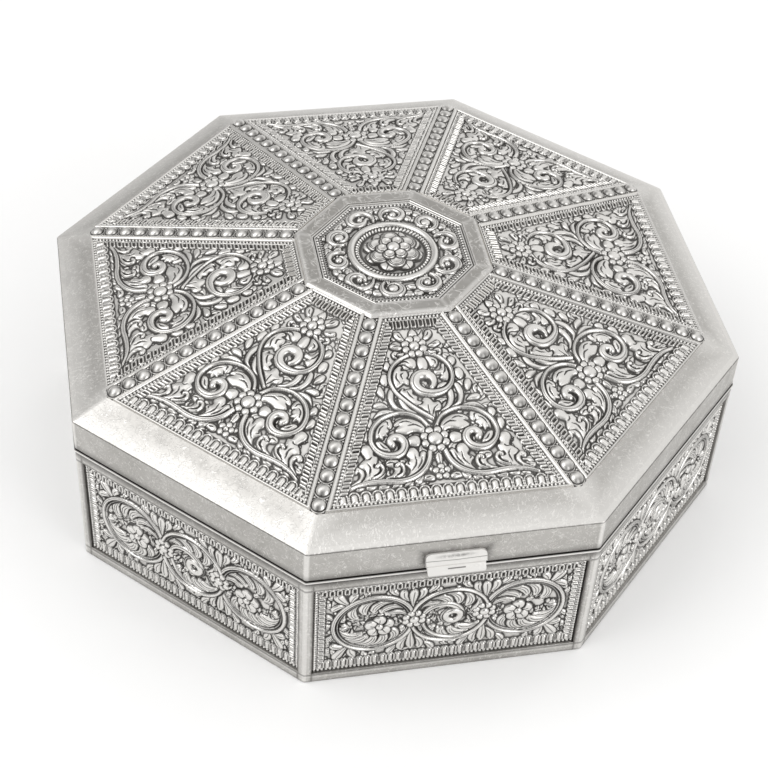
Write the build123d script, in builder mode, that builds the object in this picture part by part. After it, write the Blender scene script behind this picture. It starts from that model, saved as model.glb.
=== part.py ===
"""Octagonal silver box with a hinged lid, modelled in millimetres.

The box stands on z = 0 with its axis on the z axis. Its front side, with the
thumbpiece, faces -Y and the hinge is at +Y.
"""

import os
from math import atan, atan2, cos, degrees, floor, hypot, radians, sin, sqrt, tan

from build123d import *

# Plan of the box
sides = 8
across_flats = 200.0
corner_radius = 1.2

# Base
frame_height = 44.3
frame_thickness = 2.2
frame_stile = 2.4
frame_foot_rail = 3.6
frame_head_rail = 3.3
edge_ease = 0.25
side_sheet = 0.9
rim_bead_height = 0.85
rim_fillet_height = 0.45
rim_proud = 0.3
rim_rounding = 0.38
wall_thickness = 0.7
wall_rise = 4.0
floor_thickness = 1.0

# Relief on the side panels, x from the middle and y from the foot of the panel
side_relief = 0.9
side_leaf_relief = 0.7
side_row_relief = 0.45
side_line_width = 1.1
side_edge_width = 3.7
side_foot_width = 5.1
side_top_width = 3.9
side_middle = 19.4
side_scroll_places = (-21.6, 0.5, 22.2)
scroll_radius = 11.2
scroll_stem = 1.4
middle_reaches = (11.2, 7.0, 2.6, 0.8)
middle_widths = (0.9, 1.4, 2.4, 1.4)
scroll_eye_radius = 1.0
scroll_petal_radius = 1.7
scroll_petal_ring = 2.7
scroll_petals = 5
side_boss_radius = 1.3
side_boss_rise = 1.2
between_flowers = (-10.3, 10.3)
between_petal_radius = 1.15
between_petal_ring = 2.6
between_petals = 8

# Leaves on the side panels: way along the scroll, length, turn and half the width,
# then corner and gap leaves: place, heading, length, turn and half the width
ring_fronds = (
    (20, 8.4, 80, 1.5), (62, 8.6, 80, 1.6), (104, 8.6, 80, 1.6), (146, 8.4, 80, 1.6),
    (188, 8.0, 80, 1.5), (230, 7.6, 80, 1.5), (272, 7.2, 80, 1.4), (314, 7.0, 80, 1.4),
)
middle_fronds = (
    (16, 8.4, 85, 1.5), (50, 8.6, 90, 1.6), (84, 8.4, 95, 1.6), (118, 7.8, 95, 1.5),
    (152, 7.0, 95, 1.4), (186, 6.2, 95, 1.3), (224, 5.4, 95, 1.2),
)
corner_leaves = (
    (32.4, 6.0, 70, 3.6, -90, 0.9), (28.8, 9.0, 45, 7.0, 15, 1.4),
    (28.6, 9.4, 88, 4.6, 70, 1.1), (29.4, 8.8, 0, 5.2, -60, 1.1),
)
gap_leaves = (
    (13.6, 10.6, 20, 4.6, 60, 1.0), (7.2, 10.6, 160, 4.6, -60, 1.0),
    (11.6, 7.4, 40, 6.0, 70, 1.1), (9.6, 7.4, 140, 6.0, -70, 1.1), (10.6, 5.0, 90, 8.4, 8, 1.2),
)

# Lid
seam_gap = 0.3
lid_fit = 0.5
band_height = 11.1
band_edge_ease = 0.3
shoulder_radius = 0.6
border_width = 10.4
border_rise = 4.2
roof_rise = 13.0
lid_sheet = 1.1

# Relief on the lid panels, x from the middle line and y up the slope from the foot
panel_ground = 0.2
panel_row_height = 0.6
panel_edge_height = 1.0
panel_leaf_relief = 1.0
panel_relief = 1.25
panel_line_width = 1.1
panel_edge_width = 4.6
panel_foot_width = 5.3
panel_middle = -0.8
tongue_count = 21
tongue_radius = 1.0
tongue_foot = 1.75
tongue_top = 4.9
flower_place = 19.5
flower_petals = 8
flower_petal_radius = 1.5
flower_petal_ring = 3.2
panel_boss_radius = 1.85
panel_boss_sink = 0.35
top_flower_place = 51.2
top_petal_radius = 1.15
top_petal_ring = 2.6
top_boss_radius = 1.4
side_scroll_place = (11.5, 20.0)
side_scroll_start = 157
side_scroll_reaches = (11.2, 6.4, 2.2, 0.7)
side_scroll_widths = (0.9, 1.3, 2.5, 1.4)
top_scroll_place = (-1.3, 39.6)
top_scroll_start = -135
top_scroll_reaches = (9.5, 9.1, 3.9, 1.8)
top_scroll_widths = (0.9, 1.2, 2.6, 2.2)
scroll_eye = 1.1
frond_lean = 14

# Leaves along the lid scrolls: way along the scroll, length, turn and half the width
side_fronds = (
    (8, 8.0, 90, 1.3), (46, 8.6, 100, 1.5), (84, 7.8, 105, 1.5), (122, 6.6, 110, 1.4), (160, 5.4, 110, 1.2),
)
top_fronds = (
    (2, 7.6, 50, 1.3), (40, 8.2, 80, 1.6), (78, 8.6, 90, 1.7), (116, 8.4, 95, 1.7),
    (154, 7.8, 100, 1.6), (190, 6.8, 105, 1.4), (226, 5.4, 105, 1.2),
)
# Stems and leaves beside them: place, heading, length, turn and half the width
scroll_leads = ((0.3, 22.0, 60, 6.0, -25, 0.6), (0.9, 23.2, 138, 16.0, -9, 0.8))
rib_parts = ((1.6, 17.0, -82, 14.6, 76, 0.85), (8.6, 7.3, -2, 20.2, -9, 0.95))
lower_lobes = (
    (24.4, 7.0, 92, 5.6, -105, 1.25), (20.4, 7.0, 98, 8.2, -115, 1.7), (15.8, 6.9, 100, 9.8, -120, 1.9),
    (11.0, 7.1, 100, 10.4, -120, 1.9), (6.8, 8.6, 92, 9.6, -110, 1.75), (3.9, 11.2, 78, 7.2, -95, 1.4),
)
palmette = (
    (0.4, 23.9, 84, 8.0, -40, 1.4), (1.0, 24.1, 60, 9.2, 50, 1.2), (3.6, 29.2, 72, 6.4, -110, 1.3),
    (0.5, 7.2, 75, 6.6, -60, 1.4), (0.5, 7.0, 5, 4.0, 80, 1.1),
)
top_leaves = (
    (2.0, 53.4, 45, 4.4, 60, 1.1), (2.6, 51.2, 0, 4.4, 80, 1.1), (3.2, 48.6, -30, 3.8, 85, 0.9),
)
edge_leaves = (
    (19.4, 16.2, 20, 4.6, 70, 1.3), (18.6, 20.8, 75, 5.0, -60, 1.3), (15.6, 26.6, 20, 4.4, 80, 1.2),
    (13.2, 31.0, 62, 4.8, -70, 1.2), (10.8, 36.4, 20, 4.4, 80, 1.2), (9.4, 42.4, 50, 4.0, -70, 1.0),
)

# Bead strips between the lid panels
strip_width = 5.0
strip_ground = 0.15
bead_radius = 2.25
bead_gap = 0.25
bead_sink = 0.55

# Centre of the lid
ring_across_flats = 57.3
ring_width = 5.1
ring_stand = 1.3
ring_bevel = 0.8
plate_stand = 0.3
plate_edge_width = 1.3
plate_edge_height = 0.7
medallion_radius = 12.6
medallion_bead_radius = 1.1
rosette_radius = 8.4
rosette_base_height = 0.9
petal_count = 8
petal_radius = 2.6
petal_ring_radius = 5.6
petal_rise = 0.3
inner_petal_radius = 1.35
inner_petal_ring_radius = 2.9
inner_petal_rise = 1.5
rosette_boss_radius = 1.5
rosette_boss_rise = 2.0

# Thumbpiece
thumb_width = 17.5
thumb_lip_inset = 0.5
thumb_above_seam = 6.2
thumb_below_seam = 0.7
thumb_step_above_seam = 2.9
thumb_top_depth = 0.5
thumb_step_depth = 1.9
thumb_groove_depth = 0.4
thumb_lip_depth = 3.1
thumb_lip_radius = 0.7
thumb_corner_radius = 1.9
thumb_rim_gap = 0.3

# Hinge
hinge_length = 50.0
knuckle_count = 5
knuckle_radius = 2.2
knuckle_end_gap = 0.2
leaf_thickness = 0.8
leaf_below_rim = 2.6
leaf_above_seam = 8.0
leaf_rim_gap = 0.25
leaf_knuckle_gap = 0.3
pin_radius = 1.0
pin_clearance = 0.05
pin_head_radius = 1.6
pin_head_height = 0.8
opening_angle = 105.0
stop_width = 1.0
stop_overlap = 0.35
stop_clearance_angle = 0.6

# Worked out from the values above
half_side = 180.0 / sides
apothem = across_flats / 2
side_length = 2 * apothem * tan(radians(half_side))
wall_outer = apothem - frame_thickness
wall_inner = wall_outer - wall_thickness
rim_top = frame_height + rim_fillet_height + rim_bead_height
lid_bottom = rim_top + seam_gap
wall_top = lid_bottom + wall_rise
band_inner = wall_outer + lid_fit
shoulder = lid_bottom + band_height
border_inner = apothem - border_width
border_top = shoulder + border_rise
ring_outer = ring_across_flats / 2
ring_inner = ring_outer - ring_width
roof_top = border_top + roof_rise
roof_slope = degrees(atan(roof_rise / (border_inner - ring_outer)))
corner_scale = 1 / cos(radians(half_side))
ridge_outer = border_inner * corner_scale
ridge_inner = ring_outer * corner_scale
ridge_slope = degrees(atan(roof_rise / (ridge_outer - ridge_inner)))
plate_top = roof_top + plate_stand
window_width = side_length - 2 * frame_stile
window_height = frame_height - frame_foot_rail - frame_head_rail
hinge_y = apothem + rim_proud + leaf_rim_gap + knuckle_radius
hinge_z = rim_top + seam_gap / 2
leaf_inner_y = hinge_y - knuckle_radius
leaf_outer_y = leaf_inner_y + leaf_thickness
knuckle_length = hinge_length / knuckle_count

tolerance = 0.01
vertical = (0, 0, 1)

os.makedirs("parts", exist_ok=True)


def write(shape, name):
    """Label a finished piece and write it under its own name."""
    shape.label = name
    export_step(shape, f"parts/{name}.step")


def octagon(flat_radius, rounding=0.0, mode=Mode.ADD):
    """Add the box's plan at one distance from axis to flat, with rounded corners."""
    with BuildSketch(mode=Mode.PRIVATE) as outline:
        RegularPolygon(flat_radius, sides, major_radius=False, rotation=half_side)
        if rounding > 0:
            fillet(outline.vertices(), rounding)
    add(outline.sketch, mode=mode)


def front_wedge(mode=Mode.INTERSECT):
    """Keep only the sector that belongs to the front side."""
    reach = across_flats
    half = reach * tan(radians(half_side))
    Polygon((0, 0), (-half, -reach), (half, -reach), align=None, mode=mode)


def roof_plane(height):
    """Plane parallel to the front slope of the lid, a height above it, y running inwards."""
    normal = (0, -sin(radians(roof_slope)), cos(radians(roof_slope)))
    return Plane((0, -border_inner, border_top + height), x_dir=(1, 0, 0), z_dir=normal)


def ridge_plane(height):
    """Plane along a corner ridge of the lid, turned so that the ridge runs in from -Y."""
    normal = (0, -sin(radians(ridge_slope)), cos(radians(ridge_slope)))
    return Plane((0, -ridge_outer, border_top + height), x_dir=(1, 0, 0), z_dir=normal)


def panel_outline(inset=0.0, foot_inset=0.0, mode=Mode.ADD):
    """Trapezoid of one lid panel on the roof plane, between two bead strips."""
    along = cos(radians(roof_slope))
    half_strip = (strip_width / 2 + inset) * corner_scale
    low = border_inner - foot_inset
    high = ring_outer + inset
    half_low = low * tan(radians(half_side)) - half_strip
    half_high = high * tan(radians(half_side)) - half_strip
    y_low = (border_inner - low) / along
    y_high = (border_inner - high) / along
    Polygon(
        (-half_low, y_low), (half_low, y_low), (half_high, y_high), (-half_high, y_high),
        align=None, mode=mode,
    )


def leaf(x, y, heading, length, turn, half_width):
    """Add a curled leaf between two arcs, from its root to its tip, angles in degrees."""
    bend = radians(turn)
    chord = length * sin(bend / 2) / (bend / 2)
    direction = radians(heading) + bend / 2
    tip = (x + chord * cos(direction), y + chord * sin(direction))
    sag = chord / 2 * tan(bend / 4)
    sides_of_leaf = []
    for reach in (sag - half_width, sag + half_width):
        middle_x = (x + tip[0]) / 2 + reach * sin(direction)
        middle_y = (y + tip[1]) / 2 - reach * cos(direction)
        sides_of_leaf.append((middle_x, middle_y))
    with BuildLine(mode=Mode.PRIVATE) as outline:
        ThreePointArc((x, y), sides_of_leaf[0], tip)
        ThreePointArc(tip, sides_of_leaf[1], (x, y))
    make_face(outline.edges())


def half_turn(centre, start, reach, next_reach):
    """Centre and radius of the half circle between two reaches of a scroll."""
    shift = (reach - next_reach) / 2
    x = centre[0] + shift * cos(radians(start))
    y = centre[1] + shift * sin(radians(start))
    return (x, y), (reach + next_reach) / 2


def volute(centre, start, way, reaches, widths, eye):
    """Add a scroll stem of half circles that winds inwards, way 1 or -1, and its eye."""
    for index in range(len(reaches) - 1):
        angle = start + way * 180 * index
        ends = []
        with BuildLine(mode=Mode.PRIVATE) as outline:
            for side in (-0.5, 0.5):
                reach = reaches[index] + side * widths[index]
                next_reach = reaches[index + 1] + side * widths[index + 1]
                middle, radius = half_turn(centre, angle, reach, next_reach)
                arc = CenterArc(middle, radius, angle, way * 180)
                ends.append((arc @ 0, arc @ 1))
            Line(ends[0][0], ends[1][0])
            Line(ends[0][1], ends[1][1])
        make_face(outline.edges())
    last = start + way * 180 * (len(reaches) - 1)
    eye_x = centre[0] + reaches[-1] * cos(radians(last))
    eye_y = centre[1] + reaches[-1] * sin(radians(last))
    with Locations((eye_x, eye_y)):
        Circle(eye)


def frond(centre, start, way, reaches, along, length, turn, half_width):
    """Add a leaf that leaves a scroll stem on its inner side, a way along it in degrees."""
    index = min(floor(along / 180), len(reaches) - 2)
    angle = start + way * 180 * index
    middle, radius = half_turn(centre, angle, reaches[index], reaches[index + 1])
    place = radians(start + way * along)
    x = middle[0] + radius * cos(place)
    y = middle[1] + radius * sin(place)
    heading = start + way * (along + 90 + frond_lean)
    leaf(x, y, heading, length, way * turn, half_width)


def mirrored(leaves, middle=0.0):
    """Add leaves on both sides of a middle line."""
    for x, y, heading, length, turn, half_width in leaves:
        leaf(middle + x, y, heading, length, turn, half_width)
        leaf(middle - x, y, 180 - heading, length, -turn, half_width)


def petals(x, y, count, ring, radius):
    """Add a ring of round petals and the disc between them."""
    with Locations((x, y)):
        Circle(ring)
        with PolarLocations(ring, count, start_angle=180 / count):
            Circle(radius)


def dome(radius):
    """Upper half of a ball, for beads, petals and flower bosses."""
    Sphere(radius, arc_size1=0, align=(Align.CENTER, Align.CENTER, Align.MIN))


# Base floor, a plain octagonal sheet inside the walls
with BuildPart() as base_floor:
    with BuildSketch():
        octagon(wall_inner)
    extrude(amount=floor_thickness)
write(base_floor.part, "base_floor")

# Inner wall, which stands up inside the lid and locates it
with BuildPart() as inner_wall:
    with BuildSketch():
        octagon(wall_outer)
        octagon(wall_inner, mode=Mode.SUBTRACT)
    extrude(amount=wall_top)
    top_edges = inner_wall.faces().sort_by(Axis.Z)[-1].edges()
    chamfer(top_edges, wall_thickness / 4)
write(inner_wall.part, "inner_wall")

# One plain frame per side, mitred at the corners
with BuildPart() as side_frame:
    with BuildSketch():
        octagon(apothem, corner_radius)
        octagon(wall_outer, mode=Mode.SUBTRACT)
        front_wedge()
    extrude(amount=frame_height)
    with Locations((0, -apothem, frame_foot_rail + window_height / 2)):
        Box(window_width, 4 * frame_thickness, window_height, mode=Mode.SUBTRACT)
    outer_face = side_frame.faces().filter_by(Axis.Y).sort_by(Axis.Y)[0]
    eased = outer_face.inner_wires()[0].edges()
    eased += outer_face.outer_wire().edges().filter_by(Axis.X)
    chamfer(eased, edge_ease)

# Scroll panel set back in each frame
panel_face = Plane((0, -wall_outer - side_sheet, frame_foot_rail), x_dir=(1, 0, 0), z_dir=(0, -1, 0))
ring_reaches = (scroll_radius, scroll_radius, scroll_radius)
side_field = (side_foot_width + window_height - side_top_width) / 2
outer_places = (side_scroll_places[0], side_scroll_places[-1])
with BuildPart() as side_panel:
    with Locations((0, -wall_outer, frame_foot_rail)):
        Box(window_width, side_sheet, window_height, align=(Align.CENTER, Align.MAX, Align.MIN))
    with BuildSketch(panel_face):
        with Locations((0, window_height / 2)):
            Rectangle(window_width, window_height)
        with Locations((0, side_field)):
            Rectangle(
                window_width - 2 * side_edge_width,
                window_height - side_top_width - side_foot_width,
                mode=Mode.SUBTRACT,
            )
    extrude(amount=side_row_relief)
    with BuildSketch(panel_face):
        with Locations((0, window_height / 2)):
            Rectangle(window_width, window_height)
            Rectangle(
                window_width - 2 * side_line_width,
                window_height - 2 * side_line_width,
                mode=Mode.SUBTRACT,
            )
    extrude(amount=side_leaf_relief)
    with BuildSketch(panel_face):
        for x, way, start in ((outer_places[0], 1, 0), (outer_places[1], -1, 180)):
            for along, length, turn, half_width in ring_fronds:
                frond((x, side_middle), start, way, ring_reaches, along, length, turn, half_width)
        middle_place = (side_scroll_places[1], side_middle)
        for along, length, turn, half_width in middle_fronds:
            frond(middle_place, 180, -1, middle_reaches, along, length, turn, half_width)
        for up in (-1, 1):
            for x, y, heading, length, turn, half_width in corner_leaves + gap_leaves:
                mirrored(((x, side_middle + up * y, up * heading, length, up * turn, half_width),))
    extrude(amount=side_leaf_relief)
    with BuildSketch(panel_face):
        for x in side_scroll_places:
            with Locations((x, side_middle)):
                Circle(scroll_radius + scroll_stem / 2)
                Circle(scroll_radius - scroll_stem / 2, mode=Mode.SUBTRACT)
        volute(middle_place, 180, -1, middle_reaches, middle_widths, scroll_eye_radius)
        for x in outer_places:
            petals(x, side_middle, scroll_petals, scroll_petal_ring, scroll_petal_radius)
        for x in between_flowers:
            petals(x, side_middle, between_petals, between_petal_ring, between_petal_radius)
    extrude(amount=side_relief)
    with Locations(panel_face):
        for x in outer_places + between_flowers:
            with Locations((x, side_middle, side_boss_rise - side_boss_radius)):
                dome(side_boss_radius)

# Lid panel: sheet, border rows, scrolls with their leaves, and the flowers
side_centres = []
for way in (-1, 1):
    centre_x = panel_middle - way * side_scroll_place[0]
    start = 180 - side_scroll_start if way == 1 else side_scroll_start
    side_centres.append((way, (centre_x, side_scroll_place[1]), start))
top_centre = (panel_middle + top_scroll_place[0], top_scroll_place[1])
foot_half = border_inner * tan(radians(half_side)) - strip_width / 2 * corner_scale
with BuildPart() as lid_panel:
    with BuildSketch(roof_plane(-lid_sheet)):
        panel_outline()
    extrude(amount=lid_sheet + panel_ground, dir=vertical)
    with BuildSketch(roof_plane(panel_ground)):
        panel_outline()
        panel_outline(panel_edge_width, panel_foot_width, mode=Mode.SUBTRACT)
    extrude(amount=panel_row_height - panel_ground, dir=vertical)
    with BuildSketch(roof_plane(panel_ground)):
        panel_outline()
        panel_outline(panel_line_width, panel_line_width, mode=Mode.SUBTRACT)
    extrude(amount=panel_edge_height - panel_ground, dir=vertical)
    with BuildSketch(roof_plane(panel_ground)):
        tongue_pitch = 2 * foot_half / tongue_count
        for index in range(1, tongue_count - 1):
            tongue_x = (index - (tongue_count - 1) / 2) * tongue_pitch
            with Locations((tongue_x, tongue_top - tongue_radius)):
                Circle(tongue_radius)
            with Locations((tongue_x, (tongue_foot + tongue_top - tongue_radius) / 2)):
                Rectangle(2 * tongue_radius, tongue_top - tongue_radius - tongue_foot)
    extrude(amount=panel_edge_height - panel_ground)
    with BuildSketch(roof_plane(panel_ground)):
        for way, centre, start in side_centres:
            for along, length, turn, half_width in side_fronds:
                frond(centre, start, way, side_scroll_reaches, along, length, turn, half_width)
        for along, length, turn, half_width in top_fronds:
            frond(top_centre, top_scroll_start, -1, top_scroll_reaches, along, length, turn, half_width)
        mirrored(lower_lobes + palmette + top_leaves + edge_leaves, panel_middle)
    extrude(amount=panel_leaf_relief - panel_ground)
    with BuildSketch(roof_plane(panel_ground)):
        for way, centre, start in side_centres:
            volute(centre, start, way, side_scroll_reaches, side_scroll_widths, scroll_eye)
        volute(top_centre, top_scroll_start, -1, top_scroll_reaches, top_scroll_widths, scroll_eye)
        mirrored(rib_parts + scroll_leads[:1], panel_middle)
        leaf(panel_middle + scroll_leads[1][0], *scroll_leads[1][1:])
        petals(panel_middle, flower_place, flower_petals, flower_petal_ring, flower_petal_radius)
        petals(panel_middle, top_flower_place, flower_petals, top_petal_ring, top_petal_radius)
    extrude(amount=panel_relief - panel_ground)
    with Locations(roof_plane(panel_relief - panel_boss_sink)):
        with Locations((panel_middle, flower_place)):
            dome(panel_boss_radius)
        with Locations((panel_middle, top_flower_place)):
            dome(top_boss_radius)

# Bead strip over each corner ridge, pointed to fit the border and the ring
ridge_length = (ridge_outer - ridge_inner) / cos(radians(ridge_slope))
first_bead = bead_radius * corner_scale + bead_gap / 2
last_bead = ridge_length - bead_radius - bead_gap / 2
bead_count = floor((last_bead - first_bead) / (2 * bead_radius + bead_gap)) + 1
bead_step = (last_bead - first_bead) / (bead_count - 1)
half_strip = strip_width / 2
point = half_strip * tan(radians(half_side)) / cos(radians(ridge_slope))
with BuildPart() as bead_strip:
    with BuildSketch(ridge_plane(-lid_sheet)):
        Polygon(
            (0, 0), (half_strip, point), (half_strip, ridge_length + point),
            (0, ridge_length), (-half_strip, ridge_length + point), (-half_strip, point),
            align=None,
        )
    extrude(amount=lid_sheet + strip_ground, dir=vertical)
    with Locations(ridge_plane(strip_ground - bead_sink)):
        with Locations([(0, first_bead + index * bead_step) for index in range(bead_count)]):
            dome(bead_radius)

# The eight copies of what belongs to each side or corner
for index in range(sides):
    turn = index * 2 * half_side
    write(Rotation(0, 0, turn) * side_frame.part, f"side_frame_{index + 1}")
    write(Rotation(0, 0, turn) * side_panel.part, f"side_panel_{index + 1}")
    write(Rotation(0, 0, turn) * lid_panel.part, f"lid_panel_{index + 1}")
    write(Rotation(0, 0, turn + half_side) * bead_strip.part, f"bead_strip_{index + 1}")

# Rim moulding on the frames: a flat fillet with a bead that stands a little proud
with BuildPart() as base_rim:
    with BuildSketch(Plane.XY.offset(frame_height)):
        octagon(apothem - edge_ease, corner_radius)
    extrude(amount=rim_fillet_height)
    with BuildSketch(Plane.XY.offset(frame_height + rim_fillet_height)):
        octagon(apothem + rim_proud, corner_radius)
    bead = extrude(amount=rim_bead_height)
    outer_edges = bead.edges().filter_by(GeomType.LINE).filter_by(Axis.Z, reverse=True)
    fillet(outer_edges, rim_rounding)
    with BuildSketch(Plane.XY.offset(frame_height)):
        octagon(wall_outer)
    extrude(amount=rim_fillet_height + rim_bead_height, mode=Mode.SUBTRACT)
write(base_rim.part, "base_rim")

# Lid shell that the band and the border are cut from
with BuildPart() as lid_shell:
    with BuildSketch(Plane.XY.offset(lid_bottom)):
        octagon(apothem, corner_radius)
    extrude(amount=band_height)
    with BuildSketch(Plane.XY.offset(shoulder)):
        octagon(apothem, corner_radius)
    with BuildSketch(Plane.XY.offset(border_top)):
        octagon(border_inner, corner_radius)
    loft(ruled=True)
    near_shoulder = (shoulder - tolerance, shoulder + tolerance)
    shoulder_edges = lid_shell.edges().filter_by_position(Axis.Z, *near_shoulder)
    fillet(shoulder_edges, shoulder_radius)
    bottom_edges = lid_shell.faces().sort_by(Axis.Z)[0].edges()
    chamfer(bottom_edges, band_edge_ease)

# Upright band of the lid
with BuildPart() as lid_band:
    add(lid_shell.part)
    with BuildSketch(Plane.XY.offset(lid_bottom)):
        octagon(band_inner)
    extrude(amount=border_top, mode=Mode.SUBTRACT)
write(lid_band.part, "lid_band")

# Plain sloping border inside the band
with BuildPart() as lid_border:
    add(lid_shell.part)
    with BuildSketch(Plane.XY.offset(lid_bottom)):
        octagon(band_inner)
        octagon(border_inner, mode=Mode.SUBTRACT)
    extrude(amount=border_top, mode=Mode.INTERSECT)
    with BuildSketch(Plane.XY.offset(shoulder - lid_sheet)):
        octagon(apothem)
    with BuildSketch(Plane.XY.offset(border_top - lid_sheet)):
        octagon(border_inner)
    loft(ruled=True, mode=Mode.SUBTRACT)
    with BuildSketch(Plane.XY.offset(lid_bottom)):
        octagon(apothem)
    extrude(amount=band_height - lid_sheet, mode=Mode.SUBTRACT)
write(lid_border.part, "lid_border")

# Plain ring round the centre
with BuildPart() as centre_ring:
    with BuildSketch(Plane.XY.offset(roof_top - lid_sheet)):
        octagon(ring_outer)
    extrude(amount=lid_sheet + ring_stand)
    top_edges = centre_ring.faces().sort_by(Axis.Z)[-1].edges()
    chamfer(top_edges, ring_bevel)
    with BuildSketch(Plane.XY.offset(roof_top - lid_sheet)):
        octagon(ring_inner)
    extrude(amount=lid_sheet + ring_stand, mode=Mode.SUBTRACT)
write(centre_ring.part, "centre_ring")

# Octagonal plate that closes the ring, with a raised edge and a round moulding
with BuildPart() as centre_plate:
    with BuildSketch(Plane.XY.offset(plate_top - lid_sheet)):
        octagon(ring_inner)
    extrude(amount=lid_sheet)
    with BuildSketch(Plane.XY.offset(plate_top)):
        octagon(ring_inner)
        octagon(ring_inner - plate_edge_width, mode=Mode.SUBTRACT)
    extrude(amount=plate_edge_height)
    with BuildSketch(Plane.XZ):
        with Locations((medallion_radius, plate_top)):
            Circle(medallion_bead_radius)
    revolve(axis=Axis.Z)
write(centre_plate.part, "centre_plate")

# Rosette on the middle of the plate
with BuildPart() as centre_rosette:
    with BuildSketch(Plane.XY.offset(plate_top)):
        Circle(rosette_radius)
    extrude(amount=rosette_base_height)
    base_edge = centre_rosette.faces().sort_by(Axis.Z)[-1].edges()
    fillet(base_edge, rosette_base_height / 2)
    with BuildSketch(Plane.XY.offset(plate_top)):
        Circle(inner_petal_ring_radius)
    extrude(amount=rosette_boss_rise)
    with Locations((0, 0, plate_top + petal_rise)):
        with PolarLocations(petal_ring_radius, petal_count):
            dome(petal_radius)
    with Locations((0, 0, plate_top + inner_petal_rise)):
        with PolarLocations(inner_petal_ring_radius, petal_count, start_angle=180 / petal_count):
            dome(inner_petal_radius)
    with Locations((0, 0, plate_top + rosette_boss_rise)):
        dome(rosette_boss_radius)
write(centre_rosette.part, "centre_rosette")

# Thumbpiece: a sloping plate with a step, and a lip that hangs over the seam
thumb_top = lid_bottom + thumb_above_seam
thumb_step = lid_bottom + thumb_step_above_seam
thumb_foot = lid_bottom - thumb_below_seam
with BuildPart() as thumbpiece:
    with BuildSketch(Plane.YZ.offset(-thumb_width / 2)):
        Polygon(
            (-apothem, thumb_top),
            (-apothem, lid_bottom + band_edge_ease),
            (-apothem - rim_proud - thumb_rim_gap, lid_bottom + band_edge_ease),
            (-apothem - rim_proud - thumb_rim_gap, thumb_foot),
            (-apothem - thumb_lip_depth, thumb_foot),
            (-apothem - thumb_lip_depth, thumb_foot + 2 * thumb_lip_radius),
            (-apothem - thumb_step_depth, thumb_step - thumb_groove_depth),
            (-apothem - thumb_step_depth + thumb_groove_depth, thumb_step - thumb_groove_depth / 2),
            (-apothem - thumb_step_depth, thumb_step),
            (-apothem - thumb_top_depth, thumb_top),
            align=None,
        )
    extrude(amount=thumb_width)
    lip_edges = thumbpiece.edges().filter_by(Axis.X).group_by(Axis.Y)[0]
    fillet(lip_edges, thumb_lip_radius)
    with BuildSketch(Plane.XZ):
        with BuildLine():
            Polyline(
                (-thumb_width / 2, thumb_top),
                (thumb_width / 2, thumb_top),
                (thumb_width / 2, thumb_step - thumb_groove_depth / 2),
                (thumb_width / 2 - thumb_lip_inset, thumb_step - thumb_groove_depth / 2),
                (thumb_width / 2 - thumb_lip_inset, thumb_foot),
                (-thumb_width / 2 + thumb_lip_inset, thumb_foot),
                (-thumb_width / 2 + thumb_lip_inset, thumb_step - thumb_groove_depth / 2),
                (-thumb_width / 2, thumb_step - thumb_groove_depth / 2),
                close=True,
            )
        thumb_face = make_face()
        corners = thumb_face.vertices().group_by(Axis.Y)
        fillet(corners[0] + corners[-1], thumb_corner_radius)
    extrude(amount=across_flats, mode=Mode.INTERSECT)
write(thumbpiece.part, "thumbpiece")


def knuckle_spans(first):
    """Start and end along x of every second knuckle, with a gap at each shared end."""
    spans = []
    for index in range(first, knuckle_count, 2):
        start = index * knuckle_length - hinge_length / 2
        end = start + knuckle_length
        if index > 0:
            start += knuckle_end_gap / 2
        if index < knuckle_count - 1:
            end -= knuckle_end_gap / 2
        spans.append((start, end))
    return spans


def bore_hinge():
    """Cut the pin's hole along the whole hinge."""
    with Locations((0, hinge_y, hinge_z)):
        Cylinder(
            pin_radius + pin_clearance, 2 * hinge_length,
            rotation=(0, 90, 0), mode=Mode.SUBTRACT,
        )


# Hinge leaf on the base, soldered to the head rail of the rear frame
base_leaf_top = hinge_z - knuckle_radius - leaf_knuckle_gap
with BuildPart() as hinge_leaf_base:
    with BuildSketch(Plane.YZ.offset(-hinge_length / 2)):
        Polygon(
            (apothem, frame_height - leaf_below_rim),
            (leaf_outer_y, frame_height - leaf_below_rim),
            (leaf_outer_y, base_leaf_top),
            (apothem, base_leaf_top),
            align=None,
        )
    extrude(amount=hinge_length)
    for start, end in knuckle_spans(0):
        with BuildSketch(Plane.YZ.offset(start)):
            with Locations((leaf_inner_y, base_leaf_top)):
                Rectangle(leaf_thickness, hinge_z - base_leaf_top, align=(Align.MIN, Align.MIN))
            with Locations((hinge_y, hinge_z)):
                Circle(knuckle_radius)
        extrude(amount=end - start)
    bore_hinge()
write(hinge_leaf_base.part, "hinge_leaf_base")

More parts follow.
